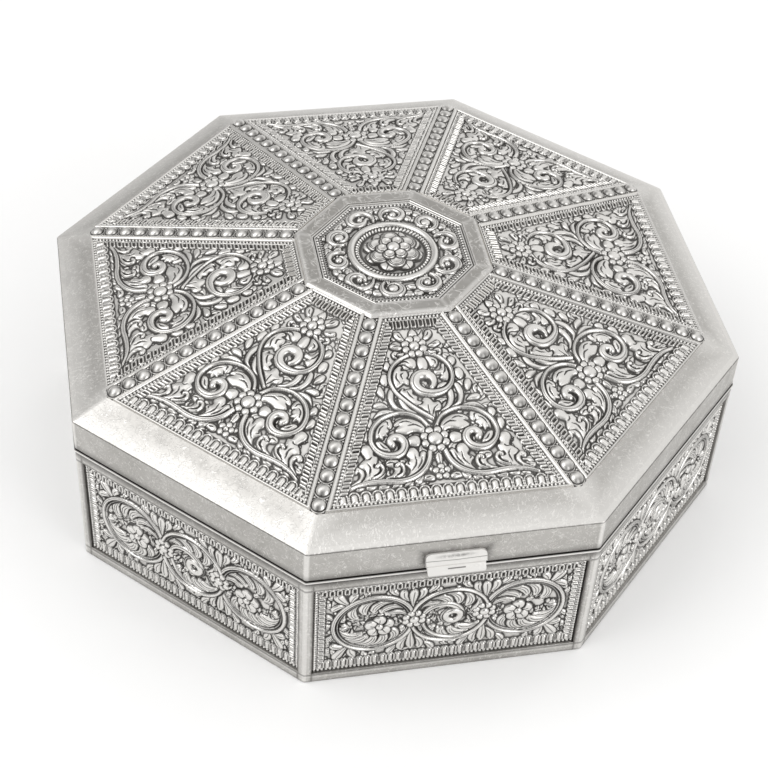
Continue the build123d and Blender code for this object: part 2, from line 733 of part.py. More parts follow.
# Hinge leaf on the lid, with a nib on each knuckle that stops the open lid
lid_leaf_foot = hinge_z + knuckle_radius + leaf_knuckle_gap
stop_y = leaf_outer_y - hinge_y
stop_reach = hypot(stop_y, hinge_z - base_leaf_top) + stop_overlap
stop_z = -sqrt(stop_reach**2 - stop_y**2)
stop_angle = degrees(atan2(stop_z, stop_y)) + opening_angle + stop_clearance_angle
with BuildPart() as hinge_leaf_lid:
    with BuildSketch(Plane.YZ.offset(-hinge_length / 2)):
        Polygon(
            (apothem, lid_leaf_foot),
            (leaf_outer_y, lid_leaf_foot),
            (leaf_outer_y, lid_bottom + leaf_above_seam),
            (apothem, lid_bottom + leaf_above_seam),
            align=None,
        )
    extrude(amount=hinge_length)
    for start, end in knuckle_spans(1):
        with BuildSketch(Plane.YZ.offset(start)):
            with Locations((leaf_inner_y, hinge_z)):
                Rectangle(leaf_thickness, lid_leaf_foot - hinge_z, align=(Align.MIN, Align.MIN))
            with Locations((hinge_y, hinge_z)):
                Circle(knuckle_radius)
            with Locations(Location((hinge_y, hinge_z), stop_angle)):
                Rectangle(stop_reach, stop_width, align=(Align.MIN, Align.MIN))
        extrude(amount=end - start)
    bore_hinge()
write(hinge_leaf_lid.part, "hinge_leaf_lid")

# Hinge pin with a peened head at each end
pin_length = hinge_length + 2 * pin_head_height
with BuildPart() as hinge_pin:
    with BuildSketch(Plane.YZ.offset(-pin_length / 2)):
        with Locations((hinge_y, hinge_z)):
            Circle(pin_radius)
    extrude(amount=pin_length)
    for start in (-pin_length / 2, hinge_length / 2):
        with BuildSketch(Plane.YZ.offset(start)):
            with Locations((hinge_y, hinge_z)):
                Circle(pin_head_radius)
        extrude(amount=pin_head_height)
    head_faces = hinge_pin.faces().filter_by(Axis.X).sort_by(Axis.X)
    fillet(head_faces[0].edges() + head_faces[-1].edges(), pin_head_height / 2)
write(hinge_pin.part, "hinge_pin")
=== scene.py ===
"""Octagonal silver box: relief panels over the frame, silver, floor, lights and camera.

The designs are in millimetres, in each panel's own plane; the pieces are made in metres.
"""

from math import atan, cos, pi, radians, sin, sqrt, tan

import bpy
import numpy as np
from mathutils import Matrix, Vector


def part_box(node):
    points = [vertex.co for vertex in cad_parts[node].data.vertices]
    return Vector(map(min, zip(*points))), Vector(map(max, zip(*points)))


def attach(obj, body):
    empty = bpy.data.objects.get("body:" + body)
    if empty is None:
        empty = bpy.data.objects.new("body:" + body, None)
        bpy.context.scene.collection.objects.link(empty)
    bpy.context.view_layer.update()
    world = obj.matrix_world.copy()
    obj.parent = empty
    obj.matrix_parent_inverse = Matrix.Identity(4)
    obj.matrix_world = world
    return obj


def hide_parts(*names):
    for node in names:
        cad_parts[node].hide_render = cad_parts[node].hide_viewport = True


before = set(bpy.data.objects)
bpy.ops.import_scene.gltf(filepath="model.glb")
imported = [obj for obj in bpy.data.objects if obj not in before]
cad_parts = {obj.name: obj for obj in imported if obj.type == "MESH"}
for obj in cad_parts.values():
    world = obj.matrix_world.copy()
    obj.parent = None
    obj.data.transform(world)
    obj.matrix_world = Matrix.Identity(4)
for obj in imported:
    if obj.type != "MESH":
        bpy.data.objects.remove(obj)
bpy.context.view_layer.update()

mm = 0.001
sides = 8
half_side = pi / sides


def heights(node):
    """Foot and top of a node in millimetres."""
    return [corner.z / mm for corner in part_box(node)]


# Sizes read from the frame, and those of the sheets and strips that it does not show
panel_low, panel_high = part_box("lid_panel_1")
ring_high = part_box("centre_ring")[1]
side_low, side_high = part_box("side_panel_1")
lid_sheet = 1.1
side_sheet = 0.9
strip_width = 5.0
ring_width = 5.1
ring_stand = 1.3
plate_stand = 0.3
border_inner = -panel_low.y / mm
ring_outer = -panel_high.y / mm
ring_inner = ring_outer - ring_width
border_top = panel_low.z / mm + lid_sheet
roof_rise = ring_high.z / mm - ring_stand - border_top
plate_top = border_top + roof_rise + plate_stand
side_face = -side_high.y / mm + side_sheet
window_width = (side_high.x - side_low.x) / mm
window_foot = side_low.z / mm
window_height = (side_high.z - side_low.z) / mm

corner_scale = 1 / cos(half_side)
roof_slope = atan(roof_rise / (border_inner - ring_outer))
roof_length = (border_inner - ring_outer) / cos(roof_slope)
ridge_outer = border_inner * corner_scale
ridge_inner = ring_outer * corner_scale
ridge_slope = atan(roof_rise / (ridge_outer - ridge_inner))
ridge_length = (ridge_outer - ridge_inner) / cos(ridge_slope)
foot_half = border_inner * tan(half_side) - strip_width / 2 * corner_scale
narrowing = cos(roof_slope) * tan(half_side)

# Distances between the points of a spine and of an outline, in millimetres
spine_spacing = 0.22
outline_spacing = 0.14


def ahead(start, heading, distance):
    """Point at a distance from start, towards a heading in degrees."""
    return start[0] + distance * cos(radians(heading)), start[1] + distance * sin(radians(heading))


def smoothstep(low, high, value):
    t = np.clip((value - low) / (high - low), 0, 1)
    return t * t * (3 - 2 * t)


def dome(share, power=0.5):
    """Rounded profile: 1 in the middle, 0 where the share of the radius reaches 1."""
    return np.clip(1 - share**2, 0, 1) ** power


def resample(points, spacing=spine_spacing):
    points = np.asarray(points, float)
    steps = np.hypot(*np.diff(points, axis=0).T)
    length = np.concatenate([[0], np.cumsum(steps)])
    even = np.linspace(0, length[-1], max(int(length[-1] / spacing) + 2, 6))
    return np.stack([np.interp(even, length, points[:, axis]) for axis in (0, 1)], 1)


def smooth_run(p):
    """Points on a smooth curve between the inner points of p."""
    t = np.linspace(0, 1, 14, endpoint=False)[:, None]
    runs = []
    for a, b, c, d in zip(p[:-3], p[1:-2], p[2:-1], p[3:]):
        bow = (2 * a - 5 * b + 4 * c - d) * t**2
        runs.append(0.5 * (2 * b + (c - a) * t + bow + (3 * b - a - 3 * c + d) * t**3))
    return np.vstack(runs)


def curve(points):
    """Smooth curve through a few points."""
    p = np.asarray(points, float)
    p = np.vstack([2 * p[0] - p[1], p, 2 * p[-1] - p[-2]])
    return resample(np.vstack([smooth_run(p), p[-2][None]]))


def closed(points):
    """Smooth closed outline through a few points."""
    p = np.asarray(points, float)
    run = smooth_run(np.vstack([p[-1], p, p[0], p[1]]))
    return resample(np.vstack([run, run[:1]]), outline_spacing)


def bend(start, heading, length, turn, ease):
    """Spine that leaves start at a heading and turns steadily, angles in degrees."""
    count = max(int(length / spine_spacing) + 2, 8)
    a = np.radians(heading + turn * np.linspace(0, 1, count) ** ease)
    step = length / (count - 1)
    x = start[0] + np.concatenate([[0], np.cumsum(np.cos(a[:-1]) * step)])
    y = start[1] + np.concatenate([[0], np.cumsum(np.sin(a[:-1]) * step)])
    return np.stack([x, y], 1)


def volute_spine(centre, start, way, reaches):
    """Spine of half circles that winds inwards, from its distances to the centre."""
    runs = []
    for index, (first, second) in enumerate(zip(reaches[:-1], reaches[1:])):
        angle = start + way * 180 * index
        middle = ahead(centre, angle, (first - second) / 2)
        sweep = radians(angle) + way * np.linspace(0, pi, 60)
        radius = (first + second) / 2
        runs.append(np.stack([middle[0] + radius * np.cos(sweep), middle[1] + radius * np.sin(sweep)], 1))
    return resample(np.vstack(runs))


class Relief:
    """Heights over a grid of points, and how dark each point is, from oxide and painted shade."""

    def __init__(self, x, y, ground=0.0):
        self.x = x.ravel()
        self.y = y.ravel()
        self.shape = x.shape
        self.h = np.full(self.x.shape, float(ground))
        self.ink = np.zeros(self.x.shape)
        self.ground = ground

    def area(self, low, high):
        """Indices of the points inside a box."""
        inside = (self.x > low[0]) & (self.x < high[0]) & (self.y > low[1]) & (self.y < high[1])
        return np.flatnonzero(inside)

    def put(self, area, inside, level, gap, outline, inner_ink):
        """Lays a form over the relief: its level inside, a carved outline outside, darkened with oxide and a
        painted shadow line.
        """
        here = self.h[area]
        edge = np.clip(gap / outline, 0, 1)
        carved = self.ground + (here - self.ground) * smoothstep(0, 1, edge)
        self.h[area] = np.where(inside, level, carved)
        line_ink = 1.0 - smoothstep(0.45, 1.0, edge)
        self.ink[area] = np.where(inside, inner_ink, np.maximum(self.ink[area], line_ink))

    def along(self, area, spine):
        """Nearest place on a spine for each point.

        Gives its index, the offset across, the distance, and if the point lies inside the bend.
        """
        flat = np.stack([self.x[area], self.y[area]], 1)
        tangent = np.gradient(spine, axis=0)
        tangent /= np.maximum(np.hypot(tangent[:, 0], tangent[:, 1]), 1e-9)[:, None]
        distance = (flat[:, :1] - spine[None, :, 0]) ** 2 + (flat[:, 1:] - spine[None, :, 1]) ** 2
        nearest = distance.argmin(1)
        offset = flat - spine[nearest]
        along = (offset * tangent[nearest]).sum(1)
        across = offset[:, 1] * tangent[nearest, 0] - offset[:, 0] * tangent[nearest, 1]
        end = ((nearest == 0) & (along < 0)) | ((nearest == len(spine) - 1) & (along > 0))
        reach = np.where(end, np.hypot(across, along), np.abs(across))
        change = np.gradient(tangent, axis=0)
        way = tangent[:, 0] * change[:, 1] - tangent[:, 1] * change[:, 0]
        return nearest, across, reach, across * way[nearest] > 0

    def stroke(self, spine, half_width, height, lines=(), outline=0.46):
        """Rounded band along a spine, with engraved lines at shares of its half width."""
        count = len(spine)
        t = np.linspace(0, 1, count)
        half_width = np.broadcast_to(half_width(t) if callable(half_width) else half_width, (count,))
        height = np.broadcast_to(height(t) if callable(height) else height, (count,))
        margin = half_width.max() + 1.5 * outline + 0.1
        area = self.area(spine.min(0) - margin, spine.max(0) + margin)
        if len(area) == 0:
            return
        nearest, across, reach, within = self.along(area, spine)
        width = np.maximum(half_width[nearest], 0.02)
        s = np.clip(reach / width, 0, 4)
        body = np.sqrt(np.clip(1 - s**2.4, 0, 1))
        ink = 0.45 * smoothstep(0.82, 1.0, s)
        signed = np.where(across < 0, -s, s)
        share = t[nearest]
        fade = smoothstep(0.0, 0.12, share) * (1 - smoothstep(0.82, 0.97, share))
        for place in lines:
            near = np.exp(-(((signed - place) * width) / 0.15) ** 2) * fade * smoothstep(0.3, 0.6, width)
            body = body * (1 - 0.32 * near)
            ink = np.maximum(ink, 0.62 * near)
        level = self.ground + (height[nearest] - self.ground) * (0.2 + 0.8 * body)
        # The painted shadow line is wider on the inside of a bend.
        self.put(area, s < 1, level, reach - width, outline * np.where(within, 1.5, 0.75), ink)

    def pad(self, points, height, roll=2.2, outline=0.5):
        """Rounded form inside a closed outline, tilted a little one way or another."""
        edge = closed(points)
        margin = outline + 0.1
        area = self.area(edge.min(0) - margin, edge.max(0) + margin)
        if len(area) == 0:
            return
        px = self.x[area][:, None]
        py = self.y[area][:, None]
        distance = np.sqrt(((px - edge[None, :, 0]) ** 2 + (py - edge[None, :, 1]) ** 2).min(1))
        x1, y1 = edge.T
        x2, y2 = np.roll(edge, -1, axis=0).T
        rise = np.where(y2 == y1, 1e-9, y2 - y1)
        crosses = ((y1 > py) != (y2 > py)) & (px < (x2 - x1) * (py - y1) / rise + x1)
        inside = crosses.sum(1) % 2 == 1
        body = dome(1 - np.clip(distance / roll, 0, 1))
        middle = edge.mean(0)
        tilt_x = 0.06 * sin(3 * middle[0])
        tilt_y = 0.06 * cos(2 * middle[1])
        lean = tilt_x * (px[:, 0] - middle[0]) + tilt_y * (py[:, 0] - middle[1])
        level = self.ground + (height - self.ground) * (0.22 + 0.78 * body) * (1 + lean)
        ink = 0.4 * (1 - smoothstep(0.0, 0.28, distance))
        self.put(area, inside, level, np.where(inside, 0, distance), outline, ink)

    def lobe(self, points, height, roll=1.4):
        """Pad with a hollow curved along its middle."""
        self.pad(points, height, roll)
        p = np.asarray(points, float)
        middle = p.mean(0)
        start = 0.35 * p[0] + 0.65 * middle
        tip = 0.45 * p[len(p) // 2] + 0.55 * middle
        self.groove([start, middle + 0.15 * (p[len(p) // 4] - middle), tip], 0.24, 0.25, 0.8)

    def groove(self, points, width, depth=0.3, ink=0.85):
        """Hollow along a curve, widest in its middle, darkened with oxide and painted shade."""
        spine = curve(points)
        t = np.linspace(0, 1, len(spine))
        half = width * np.sin(pi * np.clip(t * 0.9 + 0.08, 0, 1)) ** 0.7
        area = self.area(spine.min(0) - width - 0.1, spine.max(0) + width + 0.1)
        nearest, across, reach, within = self.along(area, spine)
        cut = dome(np.clip(reach / np.maximum(half[nearest], 0.05), 0, 1))
        self.h[area] -= depth * cut
        self.ink[area] = np.maximum(self.ink[area], ink * np.minimum(1, 1.5 * cut))

    def ball(self, centre, radius, height, base=0.0, outline=0.34, power=0.5):
        """Dome over a base."""
        margin = radius + outline + 0.1
        centre = np.asarray(centre, float)
        area = self.area(centre - margin, centre + margin)
        d = np.hypot(self.x[area] - centre[0], self.y[area] - centre[1])
        body = base + (height - base) * dome(d / radius, power)
        self.put(area, d < radius, body, d - radius, outline, 0.5 * smoothstep(0.8, 1.0, d / radius))

    def leaf(self, start, heading, length, turn, width, height, lines=(0,), ease=1.5, fat=0.72, root=0.3,
             outline=0.44):
        """Curling lobe, narrow at its root and round at its tip."""

        def half(t):
            swell = root + (1 - root) * smoothstep(0.0, fat, t)
            tip = np.sqrt(np.clip(1 - (np.clip(t - fat, 0, 1) / (1 - fat + 1e-6)) ** 2, 0.02, 1))
            return width * swell * tip

        spine = bend(start, heading, length, turn, ease)
        self.stroke(spine, half, lambda t: height * (0.66 + 0.34 * smoothstep(0, 0.7, t)), lines, outline)

    def sprig(self, at, heading, size):
        """Five lobes that spread from one root."""
        for spread, share in ((-70, 0.75), (70, 0.75), (-34, 0.9), (34, 0.9), (0, 1.05)):
            self.leaf(at, heading + spread, size * share, 0.7 * spread, 0.26 * size * share, 0.95, ())
        self.groove([at, ahead(at, heading, 0.7 * size)], 0.2, 0.25, 0.8)

    def flower(self, centre, boss, petal, ring, count, height, turn=0.5):
        """Round petals about a domed boss."""
        for index in range(count):
            at = ahead(centre, 360 * (index + turn) / count, ring)
            self.ball(at, petal, height * 0.84, self.ground + 0.35 * height)
        self.ball(centre, boss, height * 1.3, height * 0.5)

    def undergrowth(self, count, box, low, high, seed, height):
        """Small leaves in a flowing field, under the main design."""
        rng = np.random.default_rng(seed)
        for index in range(count):
            x = rng.uniform(box[0], box[1])
            y = rng.uniform(box[2], box[3])
            flow = 360 * np.sin(0.21 * x + 1.3 * np.sin(0.17 * y)) + 200 * np.cos(0.19 * y - 0.8)
            size = rng.uniform(low, high)
            turn = rng.choice([-1, 1]) * rng.uniform(60, 130)
            self.leaf((x, y), flow + rng.uniform(-30, 30), size, turn, size * rng.uniform(0.26, 0.36),
                      height * rng.uniform(0.75, 1.0))

    def border(self, edges, foot_level, blend, dark):
        """Lays rows of border ornament that meet in mitres.

        Each edge gives the share of its border's width at each point, and the heights of its rows.
        """
        (side, side_rows), (foot, foot_rows), (top, top_rows) = edges
        near = np.minimum(np.minimum(side, foot), top).ravel()
        rows = np.where((side <= foot) & (side <= top), side_rows, np.where(foot <= top, foot_rows, top_rows))
        rows = np.maximum(foot_level, rows).ravel()
        inside = smoothstep(0.0, blend, near - 1.0)
        self.h = np.where(near < 1, rows, self.h * inside + self.ground * (1 - inside))
        self.ink = np.where(near < 1, dark * (1 - smoothstep(0.1, 0.5, rows)), self.ink)


def periodic(u, pitch):
    return u - pitch * np.round(u / pitch)


def pearls(u, v, middle, pitch, radius, height):
    return height * dome(np.hypot(periodic(u, pitch), v - middle) / radius)


def flutes(u, v, low, high, pitch, height):
    """Row of long loops, each with a slot along its middle."""
    radius = pitch * 0.46
    end = 0.45
    past = np.maximum(np.maximum(low + end - v, v - (high - end)), 0) * radius / end
    d = np.hypot(periodic(u, pitch), past) / radius
    return height * np.exp(-((d - 0.62) / 0.29) ** 2) * (d < 1.06)


def tongues(u, v, low, high, pitch, height):
    """Row of arched tongues, each inside an outline that is round at the top."""
    half = pitch / 2
    past = np.maximum(v - (high - half), 0)
    d = np.hypot(periodic(u, pitch), past) / half
    rim = np.exp(-((d - 0.86) / 0.13) ** 2)
    return height * np.maximum(rim * 0.9, dome(d / 0.62, 0.45)) * (v > low) * (d < 1.02)


def line(v, low, high, height):
    """Smooth rounded line."""
    return height * dome(((v - (low + high) / 2) / ((high - low) / 2)) ** 2)


def edging(u, v, bead, rule, figure, edge=None):
    """Rows of a border: pearls, a thin line, tongues or flutes, and if given a line along the edge."""
    shape, *sizes = figure
    rows = [pearls(u, v, *bead), line(v, *rule), shape(u, v, *sizes)]
    if edge:
        rows.append(line(v, *edge))
    return np.maximum.reduce(rows)


def blur(h, cells):
    """Mean over a square of cells either way, taken twice, with the edges carried on."""
    for axis in (0, 1, 0, 1):
        pad = [(0, 0), (0, 0)]
        pad[axis] = (cells + 1, cells)
        total = np.swapaxes(np.cumsum(np.pad(h, pad, mode="edge"), axis=axis), 0, axis)
        h = np.swapaxes(total[2 * cells + 1:] - total[:-2 * cells - 1], 0, axis) / (2 * cells + 1)
    return h


def panel_half_width(y):
    """Half the lid panel's width at a distance from its foot."""
    return foot_half - narrowing * y


panel_ground = 0.2

# Ornament of the lid panels, on one side of the middle line: x outwards, y up the slope. Pads are
# outlines of raised forms, the others are curves. Lobes add a heading, a length and a turn
lid_middle = -0.8
rib_line = (
    (27, 5.6), (23.8, 6.9), (20.2, 7.5), (16.6, 7.4), (13, 7), (10, 7.2), (7.3, 8.1), (4.9, 9.8),
    (3.1, 12.3), (2, 15.8),
)
wave_pads = (
    ((22.4, 7.9), (20, 8), (17.6, 8.3), (16, 9.4), (15.4, 11), (15.7, 12.4), (16.6, 13.2), (17.4, 12.9),
     (17.2, 14.2), (17, 15.4), (18, 16.2), (17.8, 17.8), (18.4, 19.2), (19.6, 19.7), (21, 19.2),
     (21.4, 17.8), (20.8, 16.4), (20.5, 15.2), (21.4, 14.6), (22.6, 13.2), (22, 12.2), (21.1, 11.6),
     (21, 10.2), (21.8, 8.9)),
    ((15.9, 8.4), (13.1, 7.8), (10.8, 8), (10, 9.6), (9.7, 11), (10.1, 12.4), (11, 12.9), (11.3, 13.5),
     (11.9, 14.3), (13.2, 14.5), (14.7, 13.9), (15, 12.7), (14.1, 12), (13.2, 11.6), (13.1, 10.4),
     (14.1, 9.3)),
    ((10.1, 8.1), (7.7, 8.8), (5.2, 10.6), (3.8, 12.6), (3.1, 14.5), (3.7, 15.8), (4.8, 15.6), (5.4, 14.3),
     (5.4, 15.8), (6.1, 17), (7.4, 17.3), (8.7, 16.4), (8.9, 14.9), (8.2, 13.8), (9.2, 13.1), (9.8, 12.3),
     (9.2, 11.6), (8.6, 10.6), (9.1, 9.3)),
)
wave_hollows = (
    ((17.9, 9.4), (17, 10.6), (17.2, 12.2)), ((20.4, 14.9), (19.4, 14.7), (18.7, 15.4)),
    ((20.2, 9.6), (19.6, 12), (20.3, 13.6)), ((11.9, 9.2), (11.1, 10.6), (11.2, 12)),
    ((14.7, 13), (13.6, 13.2), (12.7, 12.8)), ((8.3, 13.4), (8.9, 12.6), (8.5, 11.9)),
    ((8.2, 10), (6.7, 11.9), (6.6, 14.6)), ((6.6, 10.4), (5.2, 12.2), (4.6, 14.2)),
)
corner_wave = ((25.6, 6.9), (22.9, 8.6), (22.1, 10.2), (22.3, 11.6), (23.2, 12.1), (23.9, 11.6))
small_waves = (
    ((19.4, 8.6), (17.2, 9.6), (16.1, 11), (16.2, 12.2), (16.9, 12.8), (17.7, 12.3)),
    ((12.9, 8.2), (10.9, 9.3), (10.4, 10.8), (10.6, 12), (11.4, 12.5), (12.1, 12.1)),
)
lower_lobes = (
    (24.6, 6.6, -30, 3, 60), (21.6, 7, -35, 3.4, 65), (18.2, 7, -35, 3.6, 70), (14.8, 6.7, -40, 3.6, 70),
    (11.4, 6.7, -48, 3.6, 70), (8.2, 7.3, -60, 3.6, 70), (5.4, 8.8, -70, 3.6, 70),
)
side_stem = (
    (0.6, 22.6), (2.7, 26.3), (5.2, 28.1), (8, 28.9), (11, 28.7), (14.2, 27.4), (16.9, 24.6), (18, 21),
    (17.2, 17.9), (14.9, 15.8), (12, 15.3), (9.7, 16.5), (8.8, 18.8), (9.6, 20.7), (11.4, 21.2), (12.7, 20),
    (12.3, 18.9),
)
side_pads = (
    ((1.9, 22.8), (2.9, 24.9), (4.8, 26.4), (7, 27.1), (9.2, 26.8), (10.5, 25.8), (10.6, 24.9), (9.3, 24.9),
     (10.3, 24), (10.6, 23.1), (9.3, 22.3), (7.6, 21.9), (6, 22.4), (4.4, 22.4), (3, 21.8)),
    ((16.5, 21.4), (16.2, 23.8), (15, 25.8), (13.3, 27.2), (11.7, 27.5), (11.2, 26.3), (11.2, 25),
     (11.9, 24.2), (12.7, 24.6), (12.4, 23.6), (13.2, 22.8), (13, 21.9), (14.2, 22), (14.6, 20.9),
     (15.6, 21.8)),
    ((16.8, 20.2), (16.2, 18.2), (14.6, 16.8), (13.2, 16.6), (13.2, 17.8), (14.2, 19.2), (15.4, 20.4)),
    ((4.3, 20.6), (5.4, 21.3), (7, 20.9), (8.2, 19.6), (7.6, 18.4), (6.4, 17.9), (5, 17.8), (4.2, 19)),
)
side_hollows = (
    ((3, 23.3), (5, 24.5), (7, 24.3)), ((9.2, 25.6), (7.4, 26), (5.6, 25.2)),
    ((12.3, 25.2), (12.6, 26.4), (13.6, 26.4)), ((15.6, 22.6), (14.8, 24.4), (13.4, 25.4)),
    ((15.6, 19.4), (14.8, 18.2), (13.8, 17.6)),
)
side_eye = ((11.9, 19.7), (10.7, 19.4), (10.4, 18), (11.2, 16.9), (12, 16.6))
fork_pad = (
    (0, 24.8), (1.5, 27), (1.7, 28.6), (3.2, 29), (3.9, 30.4), (3.2, 31.8), (1.9, 31.7), (1.2, 32.8),
    (0, 33.8),
)
fork_hollow = ((0.6, 26.6), (1.6, 29.2), (2.9, 30.6))
branch_pads = (
    ((3.4, 28.6), (5.2, 30.2), (6.2, 32.4), (6.4, 34.6), (7.3, 36), (8, 34.6), (7.9, 32.4), (6.9, 30.2),
     (5.2, 28.9)),
    ((6.4, 29.3), (8.4, 30.9), (9.3, 33.4), (8.9, 36), (8.6, 37.6), (10, 37.2), (10.9, 34.9), (10.6, 32.4),
     (9.4, 30.3)),
    ((9.2, 29.4), (11.6, 30.5), (13.8, 30.4), (15.2, 29.2), (16, 28), (14.2, 28.9), (12, 29.2)),
    ((11.4, 31.4), (12.8, 33), (14.6, 33.2), (15.6, 32.2), (14.6, 31.3), (13, 31.3)),
    ((12, 34.6), (11.6, 36.6), (12.4, 38.4), (13.6, 38.2), (13.8, 36.6), (13, 35.2)),
    ((10.6, 38.6), (9.6, 40.4), (10, 42.2), (11.4, 42.4), (12.2, 40.8), (11.8, 39.2)),
    ((9, 43.4), (8.4, 45.2), (9, 46.6), (10.4, 46.2), (10.6, 44.6)),
    ((19.2, 20.8), (18.6, 22.6), (18.8, 24.4), (20.2, 24.2), (20.6, 22.4)),
    ((17.4, 25.2), (16.6, 26.8), (17, 28.2), (18.4, 27.8), (18.8, 26.2)),
)
crown_pads = (
    ((3.2, 49.6), (4.6, 49.2), (6.2, 50), (7.3, 49.2), (7, 47.8), (5.8, 47.4), (6.6, 48.6), (5.4, 48.4),
     (4.2, 48)),
    ((2.6, 53), (4.2, 53.4), (5.6, 55), (5.2, 56.6), (3.8, 56.2), (3.2, 54.6)),
    ((3.8, 51), (5.2, 51.9), (6.8, 52.6), (7.4, 51.4), (6.4, 50.7), (5, 50.3)),
)
crown_tip = ((0, 54), (1.2, 54.8), (1, 56.2), (0, 57.2))
motif_pads = (
    ((2.2, 7.6), (3.4, 8.4), (5, 8.2), (6, 7), (4.8, 6.6), (3.4, 6.4), (2.4, 6.6)),
    ((2, 9.6), (2.5, 11.2), (3.2, 12.6), (3.6, 11.2), (3.4, 9.9), (2.8, 9.2)),
)

# Large scroll at the top: x from the panel's own middle, y up the slope
top_stem = (
    (-0.2, 26.2), (-4.4, 29.9), (-7.4, 33.3), (-9.4, 36.5), (-10.2, 40), (-9.5, 43.2), (-7.4, 46),
    (-4.2, 47.9), (-0.4, 48.6), (3.2, 48.1), (5.8, 46.3), (7.6, 43.6), (8.1, 40.5), (7.3, 37.5),
    (5.3, 35.4), (2.8, 34.6), (0.6, 34.6), (-1.4, 35.3), (-2.8, 36.9), (-3.1, 38.8), (-2.3, 40.5),
    (-0.8, 41.3), (0.9, 41), (2, 39.7), (2, 38), (1.2, 36.9),
)
top_pads = (
    ((-4.8, 31.2), (-6.9, 33.4), (-8.1, 35.4), (-7.7, 36.7), (-6.6, 37.1), (-6.8, 36.3), (-5.4, 36.7),
     (-4.2, 36.4), (-4.3, 34.9), (-3.2, 34), (-3.4, 32.8), (-2.2, 32), (-3, 31.2)),
    ((-8.8, 37.6), (-9.2, 40.4), (-8.6, 43), (-7.2, 44.6), (-6, 44.4), (-6.4, 43.2), (-4.9, 42.9),
     (-4.6, 41.5), (-5.2, 40.4), (-4.4, 39.5), (-5.2, 38.2), (-6.3, 38.9), (-7.2, 38.3)),
    ((-8.3, 44), (-6.9, 45.9), (-4.9, 47.2), (-2.9, 47.4), (-1.6, 46.2), (-1.6, 44.6), (-2.6, 43.6),
     (-3.9, 44.1), (-4.9, 45), (-6.4, 45.3)),
    ((-0.6, 47.2), (1, 47), (1.6, 45.4), (1.5, 43.6), (0.4, 42.4), (-0.8, 42.6), (-1.3, 44.4), (-1.2, 46)),
    ((1.4, 47.6), (3.3, 47.3), (4.6, 46.2), (4.7, 44.6), (3.6, 43.4), (2.4, 43.8), (2, 45.4)),
    ((6.5, 44.6), (7.2, 42.4), (7.2, 40.2), (6.4, 38.6), (5.4, 38.8), (4.4, 39.6), (4.9, 40.6), (3.3, 40.9),
     (3, 42.2), (4.4, 42.2), (5.3, 42.9), (5.6, 44.2)),
    ((6.2, 37.6), (4.8, 36.2), (3, 35.9), (3.2, 37.2), (4.6, 38)),
)
top_hollows = (
    ((-7.2, 37), (-8.3, 35.9), (-8, 34.4)), ((-5.9, 35.8), (-5.3, 34.2), (-4.2, 33)),
    ((-7.4, 38.8), (-8.2, 40.6), (-7.8, 42.2)), ((-6.4, 40), (-6.7, 41.4), (-5.8, 42.2)),
    ((-6.4, 45.6), (-4.8, 46), (-3.6, 45.2)), ((3, 45.9), (3.9, 45.2), (3.8, 44.2)),
    ((6.4, 43.6), (6.2, 41.8), (5.4, 40.6)),
)
top_eye = ((-0.2, 39.4), (0.8, 39), (1, 37.6), (0.4, 36.4), (1.2, 35.6))


